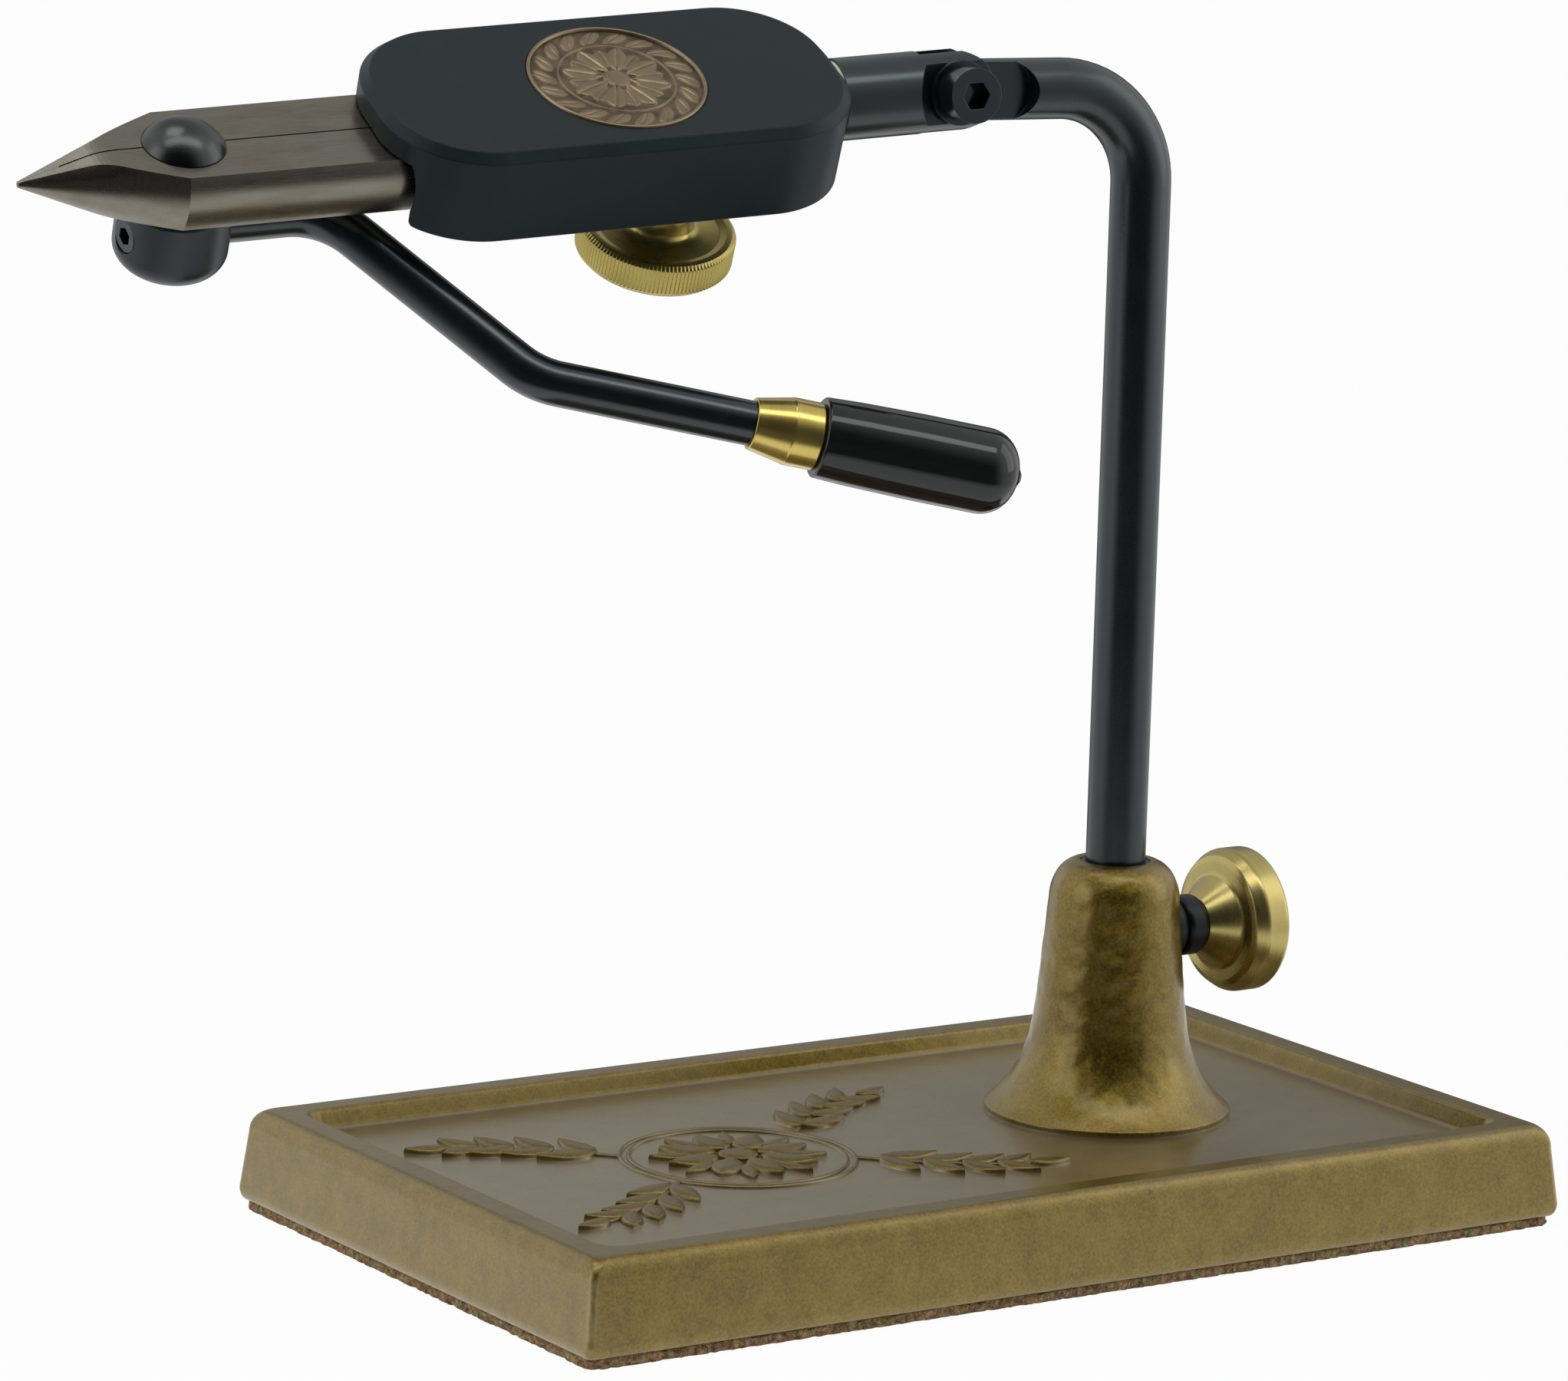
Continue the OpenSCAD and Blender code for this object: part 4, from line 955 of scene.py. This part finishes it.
@operator
class VISE_OT_lever(bpy.types.Operator):
    """Make the bent lever, its collar, its brass ferrule and its dipped grip"""
    bl_idname = "vise.lever"
    bl_label = "Lever"

    def execute(self, context):
        plane = shifted(HEAD, x=COLLAR_X, z=LEVER_Z) @ Matrix.Rotation(math.radians(LEVER_ROLL), 4, "X")
        path, end, way = lever_path()
        finished(tube(path, LEVER_R), "lever_rod_bent", "black_oxide", plane, "lever", "black_steel",
                 "lever_rod")
        heading = Vector((math.cos(math.radians(way)), math.sin(math.radians(way)), 0))
        start = Vector((*end, 0)) - heading * GRIP_LAP
        along = plane @ basis(Vector((0, 0, 1)), heading, start * MM)
        bore, length = LEVER_R + 0.04, 10.4
        ferrule = eased([(bore, 0.12), (3.9, 0, 0.2), (5.02, 5.5, 0.3), (5.12, 5.75, 0.2),
                         (5.12, length - 0.3, 0.35), (4.8, length), (bore, length)], 0.25, 5)
        weighted(finished(lathe(ferrule + [(bore, 5)], 96), "ferrule_turned", "brass", along, "lever",
                          "brass", "lever_ferrule"))
        foot, radius, nose_z, nose_l = length + 0.02, 6.55, 36.2, 5.6
        grip = [(0, foot)] + eased([(5.2, foot), (6.1, foot + 0.08, 0.7), (6.35, 16, 8), (radius, 26, 20),
                                    (radius, nose_z)], 0.7, 8)
        for i in range(1, 13):
            a = math.pi / 2 * i / 13
            grip.append((radius * math.cos(a) ** 0.9, nose_z + nose_l * math.sin(a)))
        grip += eased([(1.5, 41.85), (1.1, 42.1, 0.4), (0.6, 42.38, 0.3), (0, 42.4)], 0.3, 3)
        finished(lathe(grip, 96), "grip_dipped", "vinyl", along, "lever", "grip_vinyl", "lever_grip")
        round_w, round_h = 4.4, 3.9
        collar = [(0, COLLAR_FOOT)]
        for i in range(13):
            a = math.pi / 2 * (i / 12 - 1)
            collar.append((COLLAR_R - round_w * (1 - math.cos(a)), COLLAR_FOOT + round_h * (1 + math.sin(a))))
        collar += eased([(COLLAR_R, -14), (COLLAR_R, COLLAR_TOP, 0.5), (0, COLLAR_TOP)], 0.5, 5)
        drum = finished(lathe(collar, 128), "collar_turned", "collar_black", shifted(HEAD, x=COLLAR_X),
                        "lever", "black_steel", "lever_collar")
        turn = Matrix.Rotation(math.radians(12), 4, "Z") @ Matrix.Rotation(math.radians(-90), 4, "Y")
        screw_r, mouth_r = 2.52, 2.85
        bore = lathe([(0, 5), (screw_r, 5), (screw_r, 8.1), (mouth_r, 8.8), (mouth_r, 12), (0, 12)], 64)
        carved(drum, bore, shifted(HEAD, x=COLLAR_X, z=LEVER_Z) @ turn)
        weighted(drum)
        return {"FINISHED"}


def medal_height(r, angle):
    """Height of the medallion's face at a point, in millimetres above its own back"""
    rim_w, floor, ring_r, bead = 0.6, 0.72, 8.9, 0.25
    if r > MEDAL_R - rim_w:
        return 1.26 - 0.12 * ((r - (MEDAL_R - rim_w / 2)) / (rim_w / 2)) ** 2
    if abs(r - ring_r) < bead:
        return floor + 0.26 * (1 - ((r - ring_r) / bead) ** 2)
    if r > ring_r:
        return floor + 0.36 * wreath_leaf(r, angle, 11.15, 1.75, 18)
    tall = 0.0
    for count, foot, tip, phase, height in ((8, 2.0, 8.3, 0.0, 0.38), (8, 3.2, 7.6, 0.5, 0.28)):
        share = (angle / (2 * math.pi) * count + phase) % 1 - 0.5
        if foot < r < tip:
            u = (r - foot) / (tip - foot)
            half = 2 * math.pi * r / count * 0.46 * math.sin(math.pi * u ** 0.7) ** 0.6
            v = share * 2 * math.pi * r / count / max(half, 0.02)
            if abs(v) < 1:
                crease = 1 - 0.5 * max(0.0, 1 - abs(v) * 4)
                tall = max(tall, height * (1 - v * v) ** 0.5 * crease)
    button_r = 2.2
    if r < button_r:
        tall = max(tall, 0.36 * math.sqrt(max(0.0, 1 - (r / button_r) ** 2)) + 0.08)
    return floor + tall


def wreath_leaf(r, angle, middle, half_w, count):
    """How far a leaf of a slanted wreath stands up at a point, from 0 to 1"""
    across = (r - middle) / half_w
    share = (angle / (2 * math.pi) * count + 0.32 * across) % 1 - 0.5
    along = share / 0.40
    body = 1 - across * across - along * along
    if body <= 0:
        return 0.0
    return math.sqrt(body) * (1 - 0.45 * max(0.0, 1 - abs(along) * 5))


@operator
class VISE_OT_medallion(bpy.types.Operator):
    """Make the round inlaid plate with its wreath and rosette"""
    bl_idname = "vise.medallion"
    bl_label = "Medallion"

    def execute(self, context):
        steps, segments = 110, 528
        outline = [(0, 0), (MEDAL_R - 0.04, 0), (MEDAL_R, 0.1), (MEDAL_R, 1.1)]
        outline += [(0.05 + (MEDAL_R - 0.2) * i / steps, None) for i in range(steps, -1, -1)]
        bm = bmesh.new()
        rings = []
        for r, z in outline:
            if r == 0:
                rings.append([bm.verts.new((0, 0, 0))])
                continue
            ring = []
            for k in range(segments):
                angle = 2 * math.pi * k / segments
                tall = medal_height(r, angle) if z is None else z
                ring.append(bm.verts.new((r * math.cos(angle) * MM, r * math.sin(angle) * MM, tall * MM)))
            rings.append(ring)
        skin(bm, rings[1:])
        for k in range(segments):
            bm.faces.new((rings[0][0], rings[1][k], rings[1][(k + 1) % segments]))
        bm.faces.new(rings[-1])
        finished(bm, "medallion_struck", "medal_bronze", shifted(HEAD, x=MEDAL_X, z=MEDAL_Z), "head",
                 "medal_bronze", "medallion", smooth_angle=70)
        return {"FINISHED"}


@operator
class VISE_OT_spring(bpy.types.Operator):
    """Make the coil spring that closes the jaws, inside the head"""
    bl_idname = "vise.spring"
    bl_label = "Closing spring"

    def execute(self, context):
        steps, per_turn, radius, wire, half = 156, 24, 2.15, 0.42, 2.2
        path = []
        for i in range(steps + 1):
            angle = 2 * math.pi * i / per_turn
            path.append((radius * math.cos(angle), radius * math.sin(angle), half * (2 * i / steps - 1)))
        place = shifted(HEAD, x=SPRING_X, z=SPRING_Z) @ Matrix.Rotation(math.radians(-90), 4, "X")
        finished(tube(path, wire, 12), "spring_coiled", "bright_steel", place, "head", "bright_steel",
                 "closing_spring")
        return {"FINISHED"}


@operator
class VISE_OT_studio(bpy.types.Operator):
    """Set the camera, the pale floor, the lamps and the white surroundings"""
    bl_idname = "vise.studio"
    bl_label = "Studio"

    def execute(self, context):
        scene = context.scene
        camera(scene)
        floor = pale_floor()
        lamp("left_softbox", (-1.15, 0.10, 0.45), (0.0, 0.0, 0.10), 0.55, 1.0, 1.8)
        lamp("jaw_softbox", (-0.20, 0.10, 0.75), (-0.12, 0.0, 0.16), 0.26, 0.26, 0.55)
        lamp("right_softbox", (0.62, -0.32, 0.40), (0.0, 0.0, 0.12), 0.40, 0.7, 0.85)
        lamp("top_softbox", (-0.20, -0.36, 1.08), (-0.03, 0.0, 0.12), 1.4, 0.30, 3.4)
        surroundings(scene)
        scene.view_settings.view_transform = "Standard"
        return {"FINISHED"}


def camera(scene):
    """Camera at the photograph's place: turned and tipped as its vanishing lines say"""
    position = Vector((-573.8, -830.68, 265.56)) * MM
    turn, tip, roll = (math.radians(a) for a in (33.455, 10.226, 1.616))
    focal_px, image_w, sensor_w = 8629.95, 2044, 36.0
    ahead = Vector((math.sin(turn) * math.cos(tip), math.cos(turn) * math.cos(tip), -math.sin(tip)))
    right = Vector((math.cos(turn), -math.sin(turn), 0))
    up = right.cross(ahead)
    right, up = (math.cos(roll) * right + math.sin(roll) * up, math.cos(roll) * up - math.sin(roll) * right)
    data = bpy.data.cameras.new("camera")
    data.sensor_width = sensor_w
    data.lens = focal_px / image_w * sensor_w
    data.clip_start, data.clip_end = 0.05, 20
    eye = bpy.data.objects.new("camera", data)
    placed = Matrix((right, up, -ahead)).transposed().to_4x4()
    placed.translation = position
    eye.matrix_world = placed
    scene.collection.objects.link(eye)
    scene.camera = eye


def view_axes(scene):
    """Level directions from the vise towards the camera and towards the picture's left"""
    eye = scene.camera.matrix_world.translation
    front = Vector((eye.x, eye.y, 0)).normalized()
    return front, front.cross((0, 0, 1))


def pale_floor():
    """A wide floor that shows white to the camera and keeps the vise's soft shadow"""
    bm = bmesh.new()
    half = 9.0
    bm.faces.new([bm.verts.new((x * half, y * half, 0)) for x, y in CORNERS])
    mesh = bpy.data.meshes.new("floor")
    bm.to_mesh(mesh)
    bm.free()
    floor = bpy.data.objects.new("floor", mesh)
    floor.location.z = -0.0001
    bpy.context.scene.collection.objects.link(floor)
    s = new_finish("floor_white")
    seen_by_eye, mirrored = s.rays()
    front, side = view_axes(bpy.context.scene)
    point = s.place()
    reach = point.length()
    sides = s.levels(abs(point.dot(side)) / reach, 0.25, 0.62)
    dark = s.levels(point.dot(front) / reach, 0.35, 0.80)
    near = s.levels(reach, 175, 270, 1, 0)
    sweep = near * 1.1 + (1 - near) * (0.06 + 0.8 * sides * (1 - dark))
    cloth = s.add("ShaderNodeBsdfDiffuse", {}, {"Color": (0.82, 0.82, 0.82)})
    glow = s.add("ShaderNodeEmission", {}, {"Color": (1, 1, 1), "Strength": seen_by_eye + mirrored * sweep})
    surface = s.add("ShaderNodeMixShader", {}, {0: seen_by_eye * 0.96 + mirrored, 1: cloth, 2: glow})
    s.add("ShaderNodeOutputMaterial", {}, {0: surface})
    mesh.materials.append(s.owner)
    return floor


def lamp(name, position, target, width, height, power):
    data = bpy.data.lights.new(name, "AREA")
    data.shape = "RECTANGLE"
    data.size, data.size_y = width, height
    data.energy = power
    made = bpy.data.objects.new(name, data)
    made.location = position
    made.rotation_euler = (Vector(target) - Vector(position)).to_track_quat("-Z", "Y").to_euler()
    bpy.context.scene.collection.objects.link(made)


def surroundings(scene):
    """White all round, with the darker room behind the camera"""
    scene.world = bpy.data.worlds.new("studio")
    s = Shader(scene.world)
    way = s.add("ShaderNodeTexCoord", {}, {}, 0)
    front, side = view_axes(scene)
    across = way.dot(side)
    sides = s.levels(abs(across), 0.30, 0.66)
    dark = s.levels(way.dot(front), 0.32, 0.78)
    high = s.levels(way.dot((0, 0, 1)), 0.22, 0.55)
    back = s.levels(across, -0.10, 0.10, 0.10, 0.42)
    wall = back * (1 - high) + high * s.levels(across, -0.4, 0.4, 0.70, 0.36)
    room = (wall + sides * (1 - wall)) * (1 - dark * 0.95)
    seen_by_eye, mirrored = s.rays()
    strength = seen_by_eye + (1 - seen_by_eye) * room * (mirrored * 0.32 + 0.68)
    light = s.add("ShaderNodeBackground", {}, {"Color": (1, 1, 1), "Strength": strength})
    s.add("ShaderNodeOutputWorld", {}, {0: light})


class VISE_PT_panel(bpy.types.Panel):
    """Panel in the 3D view's sidebar"""
    bl_label = "Fly tying vise"
    bl_idname = "VISE_PT_panel"
    bl_space_type = "VIEW_3D"
    bl_region_type = "UI"
    bl_category = "Vise"

    def draw(self, context):
        for cls in OPERATORS:
            self.layout.operator(cls.bl_idname)
        for group in (sizes(), colours()):
            for key in type(group).__annotations__:
                self.layout.prop(group, key)


def register():
    for cls in [ViseSizes, ViseFinish, *OPERATORS, VISE_PT_panel]:
        bpy.utils.register_class(cls)
    bpy.types.Scene.vise_sizes = bpy.props.PointerProperty(type=ViseSizes)
    bpy.types.Scene.vise_finish = bpy.props.PointerProperty(type=ViseFinish)


def unregister():
    del bpy.types.Scene.vise_finish
    del bpy.types.Scene.vise_sizes
    for cls in reversed([ViseSizes, ViseFinish, *OPERATORS, VISE_PT_panel]):
        bpy.utils.unregister_class(cls)


def main():
    keep = set(frame["nodes"].values()) | set(frame["bodies"].values())
    for leftover in [o for o in bpy.data.objects if o not in keep]:
        bpy.data.objects.remove(leftover)
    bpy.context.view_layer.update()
    register()
    for cls in OPERATORS:
        group, action = cls.bl_idname.split(".")
        getattr(getattr(bpy.ops, group), action)()


if __name__ == "__main__":
    main()
